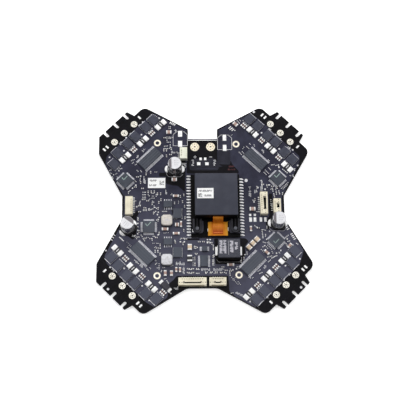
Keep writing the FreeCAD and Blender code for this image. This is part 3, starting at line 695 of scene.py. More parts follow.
def ceramic_finish(name, colour, other, rough=0.55):
    ceramic = Finish(name, Specular_IOR_Level=0.4)
    grain = ceramic.noise(3200, 3)
    wash = ceramic.noise(260, 1)
    tone = ceramic.tone(grain, 0.35, 0.7, colour, other)
    ceramic.feed("Base Color", ceramic.mix(ceramic.spread(wash, 0.4, 0.7, 0, 0.35), tone,
                                           shade(*[c * 0.8 for c in other])))
    ceramic.roughen(grain, rough - 0.07, rough + 0.1)
    ceramic.bump(grain, 0.00003, 0.5)
    return ceramic.material


brown_ceramic = ceramic_finish("brown_ceramic", (112, 82, 74), (146, 112, 102))
soft_twins("chip_banks", 0.08, "chip_bank_bodies", brown_ceramic, 0.06)
bank_ends = copy_to(soft_block(0.5, 0.78, 0.72, 0.1, 1), both_ends(spots_of("chip_banks"), 0.6), "bank_end")
finish_piece(bank_ends, "chip_bank_solder", "board", tin)
soft_twins("chip_capacitors", 0.12, "chip_capacitor_bodies",
           ceramic_finish("tan_ceramic", (160, 128, 118), (198, 172, 162)), 0.08)
soft_twins("large_chip_capacitors", 0.15, "large_chip_bodies",
           ceramic_finish("cream_ceramic", (212, 188, 160), (228, 208, 182)), 0.08)
# One of the large chips, left of the middle at the front, is a dark resistor between the same ends.
x, y, low, turn, length, width, height = min(
    solids("large_chip_capacitors"), key=lambda chip: math.hypot(chip[0] + 8.1, chip[1] + 30.4))
dark_chip = copy_to(soft_block(length + 0.02, width + 0.02, height + 0.02, 0.1, 1), [(x, y, low, turn)],
                    "dark_chip")
resistor_coat = ceramic_finish("dark_resistor_coat", (36, 35, 40), (52, 51, 58))
finish_piece(dark_chip, "dark_chip_body", "board", resistor_coat)
soft_twins("chip_end_caps", 0.12, "chip_end_caps_soldered", tin)
for arm in arm_names:
    soft_twins("shunt_resistors_" + arm, 0.1, "shunt_bodies_" + arm,
               ceramic_finish("shunt_coating_" + arm, (34, 33, 38), (48, 47, 54), 0.5),
               0.06)
soft_twins("shunt_terminals", 0.22, "shunt_tinned_ends", tin)
bar_spots = []
for arm in arm_names:
    for x, y, low, turn, length, width, height in solids("shunt_resistors_" + arm):
        bar_spots.append((x, y, low + height - 0.01, turn))
finish_piece(copy_to(soft_block(2.2, 0.5, 0.03, 0.01, 1), bar_spots, "shunt_bar"), "shunt_value_bars",
             "board", ink.material)

tiny_spots = spots_of("tiny_chips")
tiny = copy_to(soft_block(0.62, 0.52, 0.36, 0.05, 1), tiny_spots, "tiny_chip")
tiny_ceramic = ceramic_finish("tiny_chip_ceramic", (66, 62, 66), (120, 104, 92))
finish_piece(tiny, "tiny_chip_bodies", "board", tiny_ceramic, ("tiny_chips",))
tiny_caps = copy_to(soft_block(0.42, 0.62, 0.4, 0.08, 1), both_ends(tiny_spots, 0.5), "tiny_end")
finish_piece(tiny_caps, "tiny_chip_ends", "board", tin)

# ---- Moulded chip packages ----
# Black epoxy bodies: power transistors, gate drivers, motor controllers and small logic, their
# bent tinned leads soldered to the board beside them.


def epoxy_finish(name, colour, other, rough=0.5, front_sheen_lift=0):
    """Fine-sparked moulded epoxy with faint mould flow; given a front lift, the tone turns paler towards
    the front as a painted sheen.
    """
    epoxy = Finish(name, Specular_IOR_Level=0.35)
    spark = epoxy.noise(5200, 2)
    flow = epoxy.noise(320, 2)
    tone = epoxy.tone(flow, 0.35, 0.7, colour, other)
    tone = epoxy.mix(epoxy.spread(spark, 0.55, 0.75, 0, 0.3), tone, shade(*[c + 16 for c in other]))
    # Painted sheen: paler towards the front of the board.
    if front_sheen_lift:
        x, y, z = epoxy.axes()
        painted_sheen_tone = epoxy.mix(spark, shade(*[c + front_sheen_lift for c in colour]),
                         shade(*[c + front_sheen_lift + 3 for c in other]))
        tone = epoxy.mix(epoxy.spread(y, 0.012, -0.014, 0, 1), tone, painted_sheen_tone)
    epoxy.feed("Base Color", tone)
    epoxy.roughen(spark, rough - 0.06, rough + 0.08)
    epoxy.bump(spark, 0.00002, 0.5)
    return epoxy.material


# The last number paints a paler sheen towards the front.
transistor_epoxy = epoxy_finish("transistor_epoxy", (46, 49, 64), (57, 60, 76), 0.5, 14)
chip_epoxy = epoxy_finish("chip_epoxy", (49, 54, 65), (59, 64, 76), 0.5, 12)
for arm in arm_names:
    dress("mosfets_" + arm, transistor_epoxy)
    dress("gate_driver_" + arm, chip_epoxy)
    dress("motor_controller_" + arm, chip_epoxy)
dress("small_chip_packages", chip_epoxy)
dress("diode_body", epoxy_finish("diode_epoxy", (44, 43, 52), (58, 56, 68)))
lead_tin = metal_finish("lead_plating", (240, 240, 246), (202, 202, 210), 0.2, 0.38)
for node in ("mosfet_leads", "gate_driver_leads", "motor_controller_leads", "small_chip_leads"):
    dress(node, lead_tin)
foot_pads = []
for node, wide, margin in (("gate_driver_leads", 0.29, 0.12), ("motor_controller_leads", 0.32, 0.12),
                           ("small_chip_leads", 0.44, 0.3)):
    spots = [(x, y, UP + 0.02, turn) for x, y, low, turn in spots_of(node)]
    length = solids(node)[0][4]
    foot_pads.append(copy_to(soft_block(length + margin, wide, 0.06, 0.02, 1), spots, "foot_pad"))
finish_piece(join_all(foot_pads), "lead_solder_pads", "board", lead_tin)


# Fine printed outlines run beside each power transistor, and pads show as dashes at its two ends.
outline, body_lines, gloss_dashes = [], [], []
for arm in arm_names:
    key = arm_names[arm]
    angle = math.radians(arm_turn[key])
    over = Vector((math.cos(angle), math.sin(angle)))
    out = Vector((-over.y, over.x))
    for x, y, low, turn, length, width, height in solids("mosfets_" + arm):
        middle = Vector((x, y))
        half_over = (width if abs((turn - arm_turn[key]) % 180) > 45 else length) / 2
        half_out = (length if abs((turn - arm_turn[key]) % 180) > 45 else width) / 2
        for side in (-1, 1):
            start = middle + over * side * (half_over + 0.12) - out * half_out
            stop = middle + over * side * (half_over + 0.12) + out * half_out
            ink_line(outline, *start, *stop, 0.11)
            for i in range(5):
                along = over * (i - 2) * 1.1 + out * side * (half_out + 0.34)
                first, last = middle + along - over * 0.26, middle + along + over * 0.26
                ink_line(gloss_dashes, *first, *last, 0.2)
    for node in ("gate_driver_" + arm, "motor_controller_" + arm):
        for x, y, low, turn, length, width, height in solids(node):
            angle_two = math.radians(turn)
            long_way = Vector((math.cos(angle_two), math.sin(angle_two)))
            wide_way = Vector((-long_way.y, long_way.x))
            middle = Vector((x, y))
            for across in ((-0.36, -0.12, 0.12, 0.36) if "driver" in node else (-0.38, 0.38)):
                first = middle + wide_way * across * width - long_way * length * 0.46
                last = middle + wide_way * across * width + long_way * length * 0.46
                ink_line(body_lines, *first, *last, 0.14)
for x, y in ((-14.9, -3.8), (-14.9, -26.9)):
    for side in (-1, 1):
        ink_line(outline, x + side * 2.62, y - 2.9, x + side * 2.62, y + 2.9, 0.16)
printed(outline, INK_LEVEL, "transistor_outlines", ink.material)
printed(gloss_dashes, INK_LEVEL, "transistor_pad_dashes", lead_tin, 0.03)
grey_print = ink_finish("grey_laser_print", (72, 74, 84), (92, 94, 106), scale=1700)
chip_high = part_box("gate_driver_upper_left")[1].z / MM
printed(body_lines, chip_high + 0.002, "driver_print", grey_print, 0.01)

# The hand-drawn inspection tick on each motor controller, in pale green marker.
tick_marks = []
for arm in arm_names:
    for x, y, low, turn in spots_of("motor_controller_" + arm):
        spot = Vector((x - 0.4, y + 1.4)) if arm != "lower_right" else Vector((x - 0.2, y - 0.8))
        for start, stop in (((-1.5, 0.3), (-0.45, -1.05)), ((-0.45, -1.05), (1.65, 1.35))):
            ink_line(tick_marks, spot.x + start[0], spot.y + start[1], spot.x + stop[0], spot.y + stop[1],
                     0.4)
marker = ink_finish("pale_green_marker", (128, 150, 146), (164, 184, 178), 0.5, 1500, 3)
controller_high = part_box("motor_controller_upper_left")[1].z / MM
printed(tick_marks, controller_high + 0.002, "inspection_ticks", marker)

# ---- Fine solder points ----
# The smallest parts, their pads and the test points show as bright tinned grains. Each entry is a
# row: first place in mm, count, step across and up, and the grain's size.
grain_rows = [
    (-34.8, 9.2, 3, 0.75, 0, 0.5), (-34.8, 7.7, 3, 0.75, 0, 0.5), (-34.8, 6.2, 3, 0.75, 0, 0.5),
    (-34.8, 5.1, 3, 0.75, 0, 0.5), (-31.7, 7.6, 2, 0.6, -0.6, 0.5), (-31.2, 4.7, 2, 0.5, 0.5, 0.45),
    (-29.5, 8.5, 2, 0.7, 0, 0.65), (-29.4, 6.8, 2, 0.7, 0, 0.6), (-29.6, 5.6, 3, 0.7, 0, 0.5),
    (-29.2, 3.7, 2, 0.6, -0.5, 0.6), (-27.1, 7.8, 2, 0, -1.0, 0.45), (-21.6, 10.4, 3, 0.0, -0.8, 0.55),
    (-34.4, -1.1, 3, 0.85, 0, 0.45), (-34.4, -1.9, 3, 0.85, 0, 0.45), (-31.2, -0.8, 2, 0, -1.0, 0.6),
    (-29.7, -1.2, 2, 0.7, 0.3, 0.75), (-27.0, -0.6, 2, -0.8, 0.6, 0.75), (-28.1, -3.0, 2, 0.7, 0.6, 0.75),
    (-28.3, 0.9, 2, 0, -0.9, 0.5), (-26.4, -4.3, 2, 0.5, 1.4, 0.75), (-25.4, -6.0, 2, -0.5, -1.2, 0.75),
    (-26.8, -7.6, 2, 0.8, -0.6, 0.75), (-37.6, -6.2, 2, 0, -1.1, 0.6), (-37.6, -9.6, 4, 0, -2.05, 0.8),
    (-37.6, -17.8, 2, 0.8, 0, 0.7), (-35.6, -16.5, 2, 0.6, -0.8, 0.75), (-34.5, -18.5, 3, 0.4, -0.7, 0.7),
    (-32.4, -17.9, 2, 0.9, 0, 0.4), (-28.8, -17.3, 2, 0.8, 0, 0.6), (-29.3, -18.7, 2, 0, -0.9, 0.55),
    (-25.9, -16.4, 1, 0, 0, 0.95), (-29.0, -21.4, 2, 0.7, 0, 0.7), (-26.9, -21.4, 3, 0.6, 0, 0.6),
    (-27.9, -23.9, 2, 0.6, 0.5, 0.6), (-24.8, -24.3, 1, 0, 0, 0.7), (-27.6, -25.6, 2, 1.5, 0, 0.65),
    (-27.6, -26.6, 2, 1.5, 0, 0.65), (-23.4, -2.4, 4, 0.75, 0, 0.45), (-18.6, 7.6, 2, 0.5, 0.6, 0.6),
    (-16.6, 2.2, 2, 0, 0.9, 0.6), (-14.3, 3.8, 3, 0, -0.7, 0.6), (-12.4, -6.7, 1, 0, 0, 0.8),
    (-16.3, -6.9, 2, 1.0, 0, 0.4), (-22.6, -15.4, 4, 0.8, 0.1, 0.4), (-16.5, -20.6, 2, 0, 0.9, 0.75),
    (-13.3, -20.6, 1, 0, 0, 0.95), (-13.3, -18.6, 2, 0, -0.7, 0.45), (-11.1, -20.6, 1, 0, 0, 0.95),
    (-11.1, -18.6, 2, 0, -0.7, 0.45), (2.1, -19.4, 2, 1.5, 0, 1.0), (2.1, -21.2, 2, 1.5, 0, 1.0),
    (-5.4, -23.3, 2, 0, -1.0, 0.7), (-3.7, -24.0, 1, 0, 0, 0.7), (5.4, -22.7, 3, 0, -1.3, 0.65),
    (5.7, -28.4, 2, 0, -0.9, 1.0), (-6.2, -30.0, 6, 0, -0.92, 0.42), (-5.2, -30.0, 6, 0, -0.92, 0.42),
    (-8.6, -36.8, 3, 0.75, 0, 0.95), (-4.4, -36.8, 3, 0.75, 0, 0.95), (-8.6, -39.0, 3, 0.75, 0, 0.9),
    (-4.4, -39.0, 3, 0.75, 0, 0.9), (1.0, -38.9, 1, 0, 0, 0.85), (3.3, -38.9, 2, 0.8, 0, 0.85),
    (5.6, -39.0, 3, 0.8, 0, 0.4), (9.4, -38.8, 1, 0, 0, 0.7), (11.4, -38.6, 2, 0.9, -0.4, 0.6),
    (18.2, -36.6, 1, 0, 0, 0.95), (18.7, -35.4, 2, 1.0, -0.9, 0.5), (16.2, -37.2, 1, 0, 0, 0.8),
    (14.4, -38.5, 3, 0.1, -0.9, 0.65), (14.6, -36.6, 2, 0.3, -0.6, 0.5), (15.4, -41.6, 3, 0.7, -0.7, 0.4),
    (16.8, -43.4, 4, 0.7, -0.7, 0.4), (16.0, -43.0, 3, 0.7, 0.7, 0.35), (19.0, -44.0, 3, 0.6, -0.8, 0.4),
    (15.0, -50.6, 2, 1.0, 0.2, 0.5), (23.2, -28.3, 1, 0, 0, 0.7), (24.4, -26.8, 3, 0, -0.75, 0.65),
    (-49.5, 24.3, 2, 0, -0.8, 0.7), (-47.2, 23.8, 2, -0.9, -0.2, 0.8), (-48.8, 22.4, 1, 0, 0, 0.8),
    (-50.6, 20.4, 2, 0.6, 0.4, 0.7), (-54.2, 22.6, 2, 0.8, 0.3, 0.6), (-53.6, 21.0, 2, 0.6, -0.3, 0.8),
    (-52.6, 18.6, 2, 0.4, -0.8, 0.75), (-51.8, 20.0, 1, 0, 0, 0.6), (-36.2, 19.1, 1, 0, 0, 0.9),
    (-36.3, 17.8, 3, -0.1, -0.7, 0.45), (-34.3, 18.7, 5, 0, -0.85, 0.6), (-39.4, 16.2, 2, 0.6, -0.5, 0.75),
    (-38.9, 13.5, 1, 0, 0, 0.9), (-40.8, 11.7, 1, 0, 0, 0.8), (-42.2, 10.2, 2, -0.6, -0.5, 0.7),
    (-43.1, 8.6, 2, 0, 0.8, 0.5), (-38.3, 22.6, 2, 0.6, -0.6, 0.55), (-36.2, 22.4, 2, 0.5, -0.6, 0.6),
    (-41.6, 28.6, 3, 0.8, 0.4, 0.5), (-41.0, 27.0, 2, 0.5, 0.6, 0.5), (-39.4, 26.0, 2, 0.7, 0.4, 0.55),
    (-20.9, 43.4, 3, 0, -1.0, 0.5), (-19.6, 43.4, 3, 1.0, -0.1, 0.45), (-20.8, 40.2, 3, 0.9, 0, 0.45),
    (-22.4, 37.6, 3, 0.9, 0.1, 0.45), (-22.6, 36.2, 4, 1.0, 0, 0.5), (-19.0, 38.6, 3, 0, -0.9, 0.5),
    (-19.7, 49.9, 2, 0.8, 0, 0.55), (-19.7, 48.8, 2, 0.8, 0, 0.55), (-28.8, 57.6, 4, 0.9, -0.6, 0.4),
    (17.8, 49.0, 3, 0.65, -0.75, 0.65), (15.6, 48.9, 2, 0.6, -0.8, 0.65), (20.6, 53.6, 3, 0.65, -0.7, 0.7),
    (22.0, 54.2, 2, 0.6, -0.6, 0.6), (17.0, 44.5, 2, 0.5, 0.3, 0.5), (27.6, 39.2, 2, 0.5, -0.5, 0.7),
    (23.6, 36.0, 2, 0.6, 0.9, 0.5), (25.8, 37.4, 3, 0.6, -0.6, 0.5), (21.4, 33.8, 3, 0.6, -0.7, 0.5),
    (23.2, 34.0, 3, 0.6, -0.7, 0.5), (30.2, 38.4, 2, 0.3, -0.8, 0.5), (38.3, 29.0, 2, 0.5, -0.6, 0.6),
    (40.0, 25.8, 3, 0.8, 0.1, 0.6), (42.6, 25.4, 2, 0.8, 0.2, 0.8), (44.2, 25.8, 2, 0.1, -0.9, 0.75),
    (44.4, 24.2, 1, 0, 0, 0.9), (46.6, 23.0, 2, 0.8, -0.6, 0.8), (48.2, 21.6, 2, 0.8, -0.7, 0.75),
    (50.6, 19.2, 2, 0.6, -0.2, 0.7), (52.4, 19.4, 2, 0.2, -0.9, 0.7), (53.4, 22.4, 2, 0.2, 0.9, 0.6),
    (38.4, 24.0, 3, 0.5, -0.6, 0.55), (36.4, 22.6, 4, 0.6, -0.7, 0.45), (35.6, 21.2, 3, 0.6, -0.7, 0.45),
    (34.0, 16.2, 2, 0.2, -0.9, 0.7), (34.2, 13.2, 3, 0.0, -1.0, 0.8), (31.8, 11.8, 1, 0, 0, 0.9),
    (30.8, 10.2, 2, 0.2, -0.9, 0.6), (38.4, 13.4, 1, 0, 0, 0.95), (37.0, 13.0, 2, 0.2, -0.9, 0.5),
    (40.2, 11.4, 3, 0.1, -0.9, 0.65), (42.4, 11.6, 2, -0.4, -0.8, 0.65), (39.2, 10.6, 2, 0.2, 0.6, 0.6),
    (42.2, 9.6, 3, 0.1, -0.9, 0.6), (43.8, 9.8, 3, 0.2, -0.9, 0.6), (45.9, 8.6, 2, 0, -0.9, 0.8),
    (40.8, 8.0, 3, 0.2, -0.9, 0.55), (45.4, 11.4, 3, 0.8, 0.7, 0.5), (47.2, 12.8, 4, 0.7, 0.7, 0.5),
    (46.4, 11.0, 4, 0.8, 0.8, 0.45), (32.0, 5.6, 7, 0.02, -1.05, 0.5), (30.6, -2.8, 2, 0.8, 0, 0.5),
    (39.0, 4.4, 4, 0, -1.1, 0.45), (-39.9, 3.9, 7, 0, -1.1, 0.5), (33.6, -15.6, 4, 0.05, -0.95, 0.7),
    (34.2, -13.6, 3, 0.6, -0.2, 0.6), (35.2, -17.4, 2, 0.1, 0.9, 0.7), (35.8, -19.4, 1, 0, 0, 0.85),
    (37.7, -14.6, 1, 0, 0, 0.85), (36.2, -11.6, 2, 0, -1.0, 0.6), (30.6, -12.3, 1, 0, 0, 0.9),
    (29.3, -11.2, 2, 0.6, -0.6, 0.6), (33.8, -21.0, 3, 0.7, -0.2, 0.6), (33.6, -23.8, 2, 0.9, 0.6, 0.6),
    (34.8, -23.0, 3, 0.7, -0.8, 0.5), (36.4, -22.8, 4, 0.7, -0.8, 0.5), (38.6, -26.6, 2, 0.5, -0.9, 0.5),
    (32.6, -25.4, 3, 0.7, -0.8, 0.5), (43.7, -26.0, 1, 0, 0, 0.9), (41.2, -27.6, 1, 0, 0, 0.9),
    (42.6, -27.0, 2, 0.4, -0.5, 0.5), (36.0, -29.8, 4, 0.8, 0.2, 0.5), (38.4, -30.4, 4, 0.8, 0.4, 0.6),
    (36.4, -32.6, 3, 0.6, 0.5, 0.5), (39.8, -29.4, 3, 0.8, 0.2, 0.65), (46.8, -22.0, 2, 0.5, -0.8, 0.75),
    (47.6, -19.2, 1, 0, 0, 0.9), (46.8, -18.2, 3, 0.7, 0.6, 0.6), (48.0, -20.6, 2, 0.9, 0.2, 0.6),
    (52.8, -21.8, 2, 0.7, -0.6, 0.85), (30.4, -38.0, 3, 0.6, 0.4, 0.55), (31.2, -39.4, 3, 0.7, 0.3, 0.55),
    (25.2, -41.4, 2, 0.7, -0.5, 0.45), (27.0, -42.0, 2, 0.5, 0.4, 0.5), (-26.4, -35.8, 2, 0.9, 0.2, 0.5),
    (-25.4, -33.4, 4, 0.0, -1.0, 0.5), (-27.4, -33.6, 2, 0.6, 0.5, 0.5), (-32.2, -36.4, 2, 0.6, -0.6, 0.6),
    (-27.6, -31.2, 2, 0.5, -0.5, 0.5), (-30.6, -35.6, 2, 0.5, -0.5, 0.4), (-24.2, -38.0, 2, 0.3, 0.7, 0.8),
    (-23.2, -35.6, 2, 0.9, 0, 0.5), (-22.4, -42.2, 2, 0.8, 0.2, 0.8), (-21.0, -43.2, 3, 0.45, -0.7, 0.65),
    (-19.4, -50.0, 2, 0.6, -0.6, 0.7), (-18.6, -34.6, 2, 0.9, 0.2, 0.5), (-15.6, -32.6, 2, 0.1, -0.8, 0.7),
    (-13.6, -32.4, 2, 0.3, -0.7, 0.6), (-39.2, -31.2, 3, 0.7, -0.5, 0.6), (-38.4, -32.4, 3, 0.7, -0.4, 0.5),
    (-43.4, -23.6, 4, 0.7, -0.5, 0.4), (-42.6, -26.0, 2, 0.6, -0.4, 0.5), (-41.4, -15.6, 3, 0.9, -0.9, 0.5),
    (-40.6, -17.2, 3, 0.9, 0.3, 0.45), (-39.2, -16.8, 3, 0.5, -0.9, 0.5),
    (-43.6, -20.6, 4, 0.8, -0.7, 0.35), (-42.4, -22.6, 3, 0.8, -0.6, 0.35),
]
GRAIN_SHARE = 0.62
grain_spots = {}
for x, y, count, step_x, step_y, size in grain_rows:
    for i in range(count):
        reach = math.hypot(step_x, step_y) * GRAIN_SHARE if count > 1 else size
        spots = grain_spots.setdefault(round(min(size, reach), 1), [])
        spots.append((x + i * step_x, y + i * step_y, INK_LEVEL, random.choice((0, 90))))
grains = [copy_to(soft_block(size, size * 0.82, 0.16 + size * 0.2, size * 0.16, 1), spots, "grain")
          for size, spots in grain_spots.items()]
finish_piece(join_all(grains), "fine_solder_points", "board", tin)

# Long narrow pads beside the larger chips: first place, count, step across and up, and turn.
long_pads = [(47.0, -11.3, 3, 0.65, -1.0, 30), (50.2, -16.2, 4, 0.57, -1.0, 30),
             (-50.9, -16.4, 3, -0.75, -1.35, -35),
             (-47.5, -18.0, 3, 0.75, -0.75, -35), (-18.9, 52.6, 4, 0.85, -0.45, 60),
             (16.3, 49.6, 3, 0.75, -0.9, 45), (-16.7, 18.9, 3, 0.0, -1.5, 0)]
pad_spots = [(x + i * step_x, y + i * step_y, INK_LEVEL, turn)
             for x, y, count, step_x, step_y, turn in long_pads for i in range(count)]
finish_piece(copy_to(soft_block(1.5, 0.5, 0.16, 0.06, 1), pad_spots, "long_pad"), "long_solder_pads",
             "board", tin)

# The faint dark red print beside the module.
red_bars = []
ink_bars(red_bars, 14.6, 22.6, 4, 0, 1.1, 1.0, 0.24)
ink_bars(red_bars, 15.2, 24.4, 3, 0, 1.1, 1.0, 0.24)
red_ink = ink_finish("dark_red_ink", (70, 24, 30), (104, 34, 42), scale=1400)
printed(red_bars, INK_LEVEL, "dark_red_print", red_ink, thickness=0.01)

# ---- Electrolytic cans ----
# Drawn aluminium cans, crimped near the foot, on black plastic plates with chamfered corners. The
# tops carry the maker's dark polarity segment; rounded solder covers the two tabs of each can.
can_spots = []
for x, y, low, turn, length, width, height in solids("capacitor_cans"):
    can_spots.append((x, y))
    can_low, can_high = low, low + height
can_spots.sort(key=lambda spot: -spot[1])
can_turns = (0, 0, 45)
mark_turns = (180, 180, 54)
can_profile = [
    (0, can_low), (3.78, can_low), (3.85, can_low + 0.08), (3.85, can_low + 1.25), (3.72, can_low + 1.4),
    (3.56, can_low + 1.6), (3.52, can_low + 1.75), (3.56, can_low + 1.9), (3.72, can_low + 2.1),
    (3.85, can_low + 2.25), (3.85, can_high - 0.42), (3.8, can_high - 0.2), (3.66, can_high - 0.05),
    (3.45, can_high), (3.3, can_high - 0.03), (3.1, can_high - 0.05), (0, can_high - 0.05),
]
drawn = Finish("drawn_aluminium", Metallic=1.0)
rub = drawn.noise(900, 3)
stretched = {"Vector": drawn.place(), "Scale": (60, 60, 0.6)}
draw_lines = drawn.noise(60, 2, drawn.node("ShaderNodeMapping", {}, stretched))
drawn_tone = drawn.spread(draw_lines, 0.35, 0.65, 0, 1)
drawn.feed("Base Color", drawn.mix(drawn_tone, shade(212, 212, 214), shade(168, 168, 172)))
drawn.roughen(rub, 0.2, 0.34)
drawn.bump(draw_lines, 0.00003, 0.4)
standing = [(x, y, 0, turn) for (x, y), turn in zip(can_spots, can_turns)]
cans = copy_to(spun("can", can_profile), standing, "cans")
finish_piece(cans, "capacitor_cans_drawn", "board", drawn.material, ("capacitor_cans",))

top_print = Finish("satin_can_top", Metallic=0.25)
brush = top_print.noise(2400, 2)
streaked = top_print.spread(brush, 0.4, 0.7, 0, 1)
top_print.feed("Base Color", top_print.mix(streaked, shade(226, 226, 228), shade(206, 206, 211)))
top_print.roughen(brush, 0.34, 0.5)
top_print.bump(brush, 0.00001, 0.4)
top_profile = [
    (0, can_high - 0.06), (3.62, can_high - 0.06), (3.62, can_high - 0.01), (3.46, can_high + 0.012),
    (3.3, can_high - 0.01), (3.1, can_high - 0.02), (0, can_high - 0.02),
]
can_tops = copy_to(spun("can_top", top_profile), [(x, y, 0, 0) for x, y in can_spots], "can_tops")
finish_piece(can_tops, "can_top_discs", "board", top_print.material)

segments, strokes = [], []
for (x, y), toward in zip(can_spots, mark_turns):
    cut = 0.5 if toward == 180 else 0.34
    half = math.acos(cut)
    arc = [math.radians(toward) + half * (step / 9 - 1) for step in range(19)]
    segments.append([(x + 3.55 * math.cos(a), y + 3.55 * math.sin(a)) for a in arc])
    slant = math.radians(toward + 180)
    tall = 0.62
    for line, count in ((-1.2, 3), (0.1, 4), (1.35, 3)):
        for i in range(count):
            along = 0.55 + i * 0.75 - 0.6
            ax = x + along * math.cos(slant) - (line - tall / 2) * math.sin(slant)
            ay = y + along * math.sin(slant) + (line - tall / 2) * math.cos(slant)
            bx = x + (along + 0.12) * math.cos(slant) - (line + tall / 2) * math.sin(slant)
            by = y + (along + 0.12) * math.sin(slant) + (line + tall / 2) * math.cos(slant)
            ink_line(strokes, ax, ay, bx, by, 0.16)
dark_ink = ink_finish("polarity_ink", (98, 93, 98), (122, 117, 122), 0.5, 1100)
printed(segments, can_high - 0.018, "polarity_segments", dark_ink, 0.035)
pale_ink = ink_finish("faded_grey_ink", (128, 126, 138), (158, 156, 168))
printed(strokes, can_high - 0.018, "can_top_strokes", pale_ink)


def own_copy(node, flat_within):
    """A copy of a CAD node's mesh, merged, with its flat areas as single faces."""
    deselect()
    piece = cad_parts[node].copy()
    piece.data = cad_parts[node].data.copy()
    piece.parent = None
    piece.matrix_world = Matrix.Identity(4)
    piece.hide_render = False
    bpy.context.scene.collection.objects.link(piece)
    piece.select_set(True)
    bpy.context.view_layer.objects.active = piece
    bpy.ops.object.mode_set(mode="EDIT")
    bpy.ops.mesh.select_all(action="SELECT")
    bpy.ops.mesh.remove_doubles(threshold=1e-7)
    bpy.ops.mesh.select_all(action="SELECT")
    bpy.ops.mesh.dissolve_limited(angle_limit=math.radians(flat_within))
    bpy.ops.object.mode_set(mode="OBJECT")
    return piece


def softened(node, edge, name, body, material, segments=2, angle=35):
    """Stands for a CAD node: its own shape with every hard edge rounded."""
    piece = own_copy(node, 2)
    bevel = piece.modifiers.new("edge", "BEVEL")
    bevel.width = edge * MM
    bevel.segments = segments
    bevel.limit_method = "ANGLE"
    bevel.angle_limit = math.radians(angle)
    bevel.use_clamp_overlap = True
    bpy.ops.object.modifier_apply(modifier="edge")
    bpy.ops.object.shade_smooth_by_angle(angle=math.radians(32))
    return finish_piece(piece, name, body, material, (node,))


def moulded_finish(name, colour, other, rough=0.5, specular=0.4):
    """Moulded plastic: fine spark texture, a little flow cloudiness, slightly uneven gloss."""
    plastic = Finish(name, Specular_IOR_Level=specular)
    spark = plastic.noise(3600, 3)
    flow = plastic.noise(240, 2)
    tone = plastic.tone(flow, 0.35, 0.7, colour, other)
    plastic.feed("Base Color", tone)
    plastic.roughen(spark, rough - 0.07, rough + 0.1)
    plastic.bump(spark + flow * 0.3, 0.00003, 0.5)
    return plastic.material


base_black = moulded_finish("can_base_plastic", (22, 21, 24), (32, 31, 36), 0.5, 0.3)
softened("capacitor_bases", 0.12, "capacitor_base_plates", "board", base_black)
solder = metal_finish("flowed_solder", (255, 255, 255), (240, 240, 240), 0.15, 0.36)


def half_ball(length, width, height, around, rings):
    """The upper half of a stretched ball on z = 0, from its two half widths and its height."""
    deselect()
    bpy.ops.mesh.primitive_uv_sphere_add(segments=around, ring_count=rings, radius=1, location=(0, 0, 0),
                                         scale=(length * MM, width * MM, height * MM))
    settle()
    bpy.ops.object.mode_set(mode="EDIT")
    bpy.ops.mesh.select_all(action="SELECT")
    bpy.ops.mesh.bisect(plane_co=(0, 0, 0), plane_no=(0, 0, -1), clear_outer=True, use_fill=True)
    bpy.ops.object.mode_set(mode="OBJECT")
    return bpy.context.object


def solder_lobe(length, width, height):
    """A puddle of solder: a flattened, rounded mound standing on z = 0."""
    lobe = half_ball(length / 2, width / 2, height, 24, 12)
    bpy.ops.object.shade_smooth_by_angle(angle=math.radians(50))
    return lobe


foot_spots = [(x, y, UP + 0.02, turn) for (x, y), turn in zip(can_spots, can_turns)]
lobes = copy_to(solder_lobe(3.3, 4.6, 0.62), both_ends(foot_spots, 4.15), "lobe")
finish_piece(lobes, "capacitor_solder_lobes", "board", solder, ("capacitor_terminals",))

# ---- Inductors ----
# The power inductor is a pressed ferrite block with its legend printed on a grey top and its sides painted
# near-black as shade; two smaller shielded inductors are pale pressed cores on dark feet.
ferrite = Finish("printed_ferrite", Specular_IOR_Level=0.1)
x, y, z = ferrite.axes()
pressed = ferrite.noise(2200, 3)
top_of_block = z > (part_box("power_inductor_body")[1].z - 0.0003)
# Painted shade: the block's sides are near-black, far darker than the top, standing in for walls facing
# away from the lamps.
painted_shade_side_tone = ferrite.mix(pressed, shade(2, 2, 3), shade(6, 6, 7))
top_tone = ferrite.tone(pressed, 0.4, 0.7, (64, 65, 74), (86, 87, 97))
ferrite.feed("Base Color", ferrite.mix(top_of_block, painted_shade_side_tone, top_tone))
ferrite.roughen(pressed, 0.4, 0.58)
ferrite.bump(pressed, 0.00004, 0.5)
softened("power_inductor_body", 0.1, "power_inductor_block", "board", ferrite.material, 2,
         25)
softened("power_inductor_terminals", 0.08, "power_inductor_tabs", "board", solder)
block_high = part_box("power_inductor_body")[1].z / MM
block_marks = []
for x, y, count, turn, tall in ((8.6, -22.0, 9, -90, 1.6), (10.6, -22.0, 9, -90, 1.7),
                                (14.4, -22.3, 8, -90, 1.9), (17.2, -23.2, 5, -90, 1.6)):
    ink_bars(block_marks, x, y, count, turn, 0.85, tall, 0.34)
ink_line(block_marks, 13.6, -22.1, 13.6, -30.4, 0.14)
block_ink = ink_finish("light_grey_ink", (178, 176, 186), (206, 204, 212))
printed(block_marks, block_high + 0.001, "power_inductor_marks", block_ink)

core = Finish("pressed_pale_core", Metallic=0.1)
grit = core.noise(2600, 3)
wash = core.noise(200, 2)
x, y, z = core.axes()
warm = core.mix(grit, shade(194, 188, 182), shade(222, 216, 208))
cool = core.mix(grit, shade(200, 200, 206), shade(226, 226, 232))
streaks = core.spread(core.noise(900, 3), 0.45, 0.7, 0, 0.5)
core.feed("Base Color", core.mix(streaks, core.mix(y < -0.02, warm, cool), shade(158, 154, 152)))
core.roughen(grit, 0.4, 0.55)
core.bump(grit + wash * 0.5, 0.00005, 0.5)
softened("filter_inductor_cores", 0.22, "filter_inductor_blocks", "board", core.material, 3)
softened("filter_inductor_bases", 0.08, "filter_inductor_feet", "board", base_black)
core_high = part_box("filter_inductor_cores")[1].z / MM
core_marks = []
for y in (-8.3, -31.5):
    ink_bars(core_marks, -22.0, y - 0.6, 3, 0, 0.9, 1.3)
printed(core_marks, core_high, "filter_inductor_marks", block_ink)
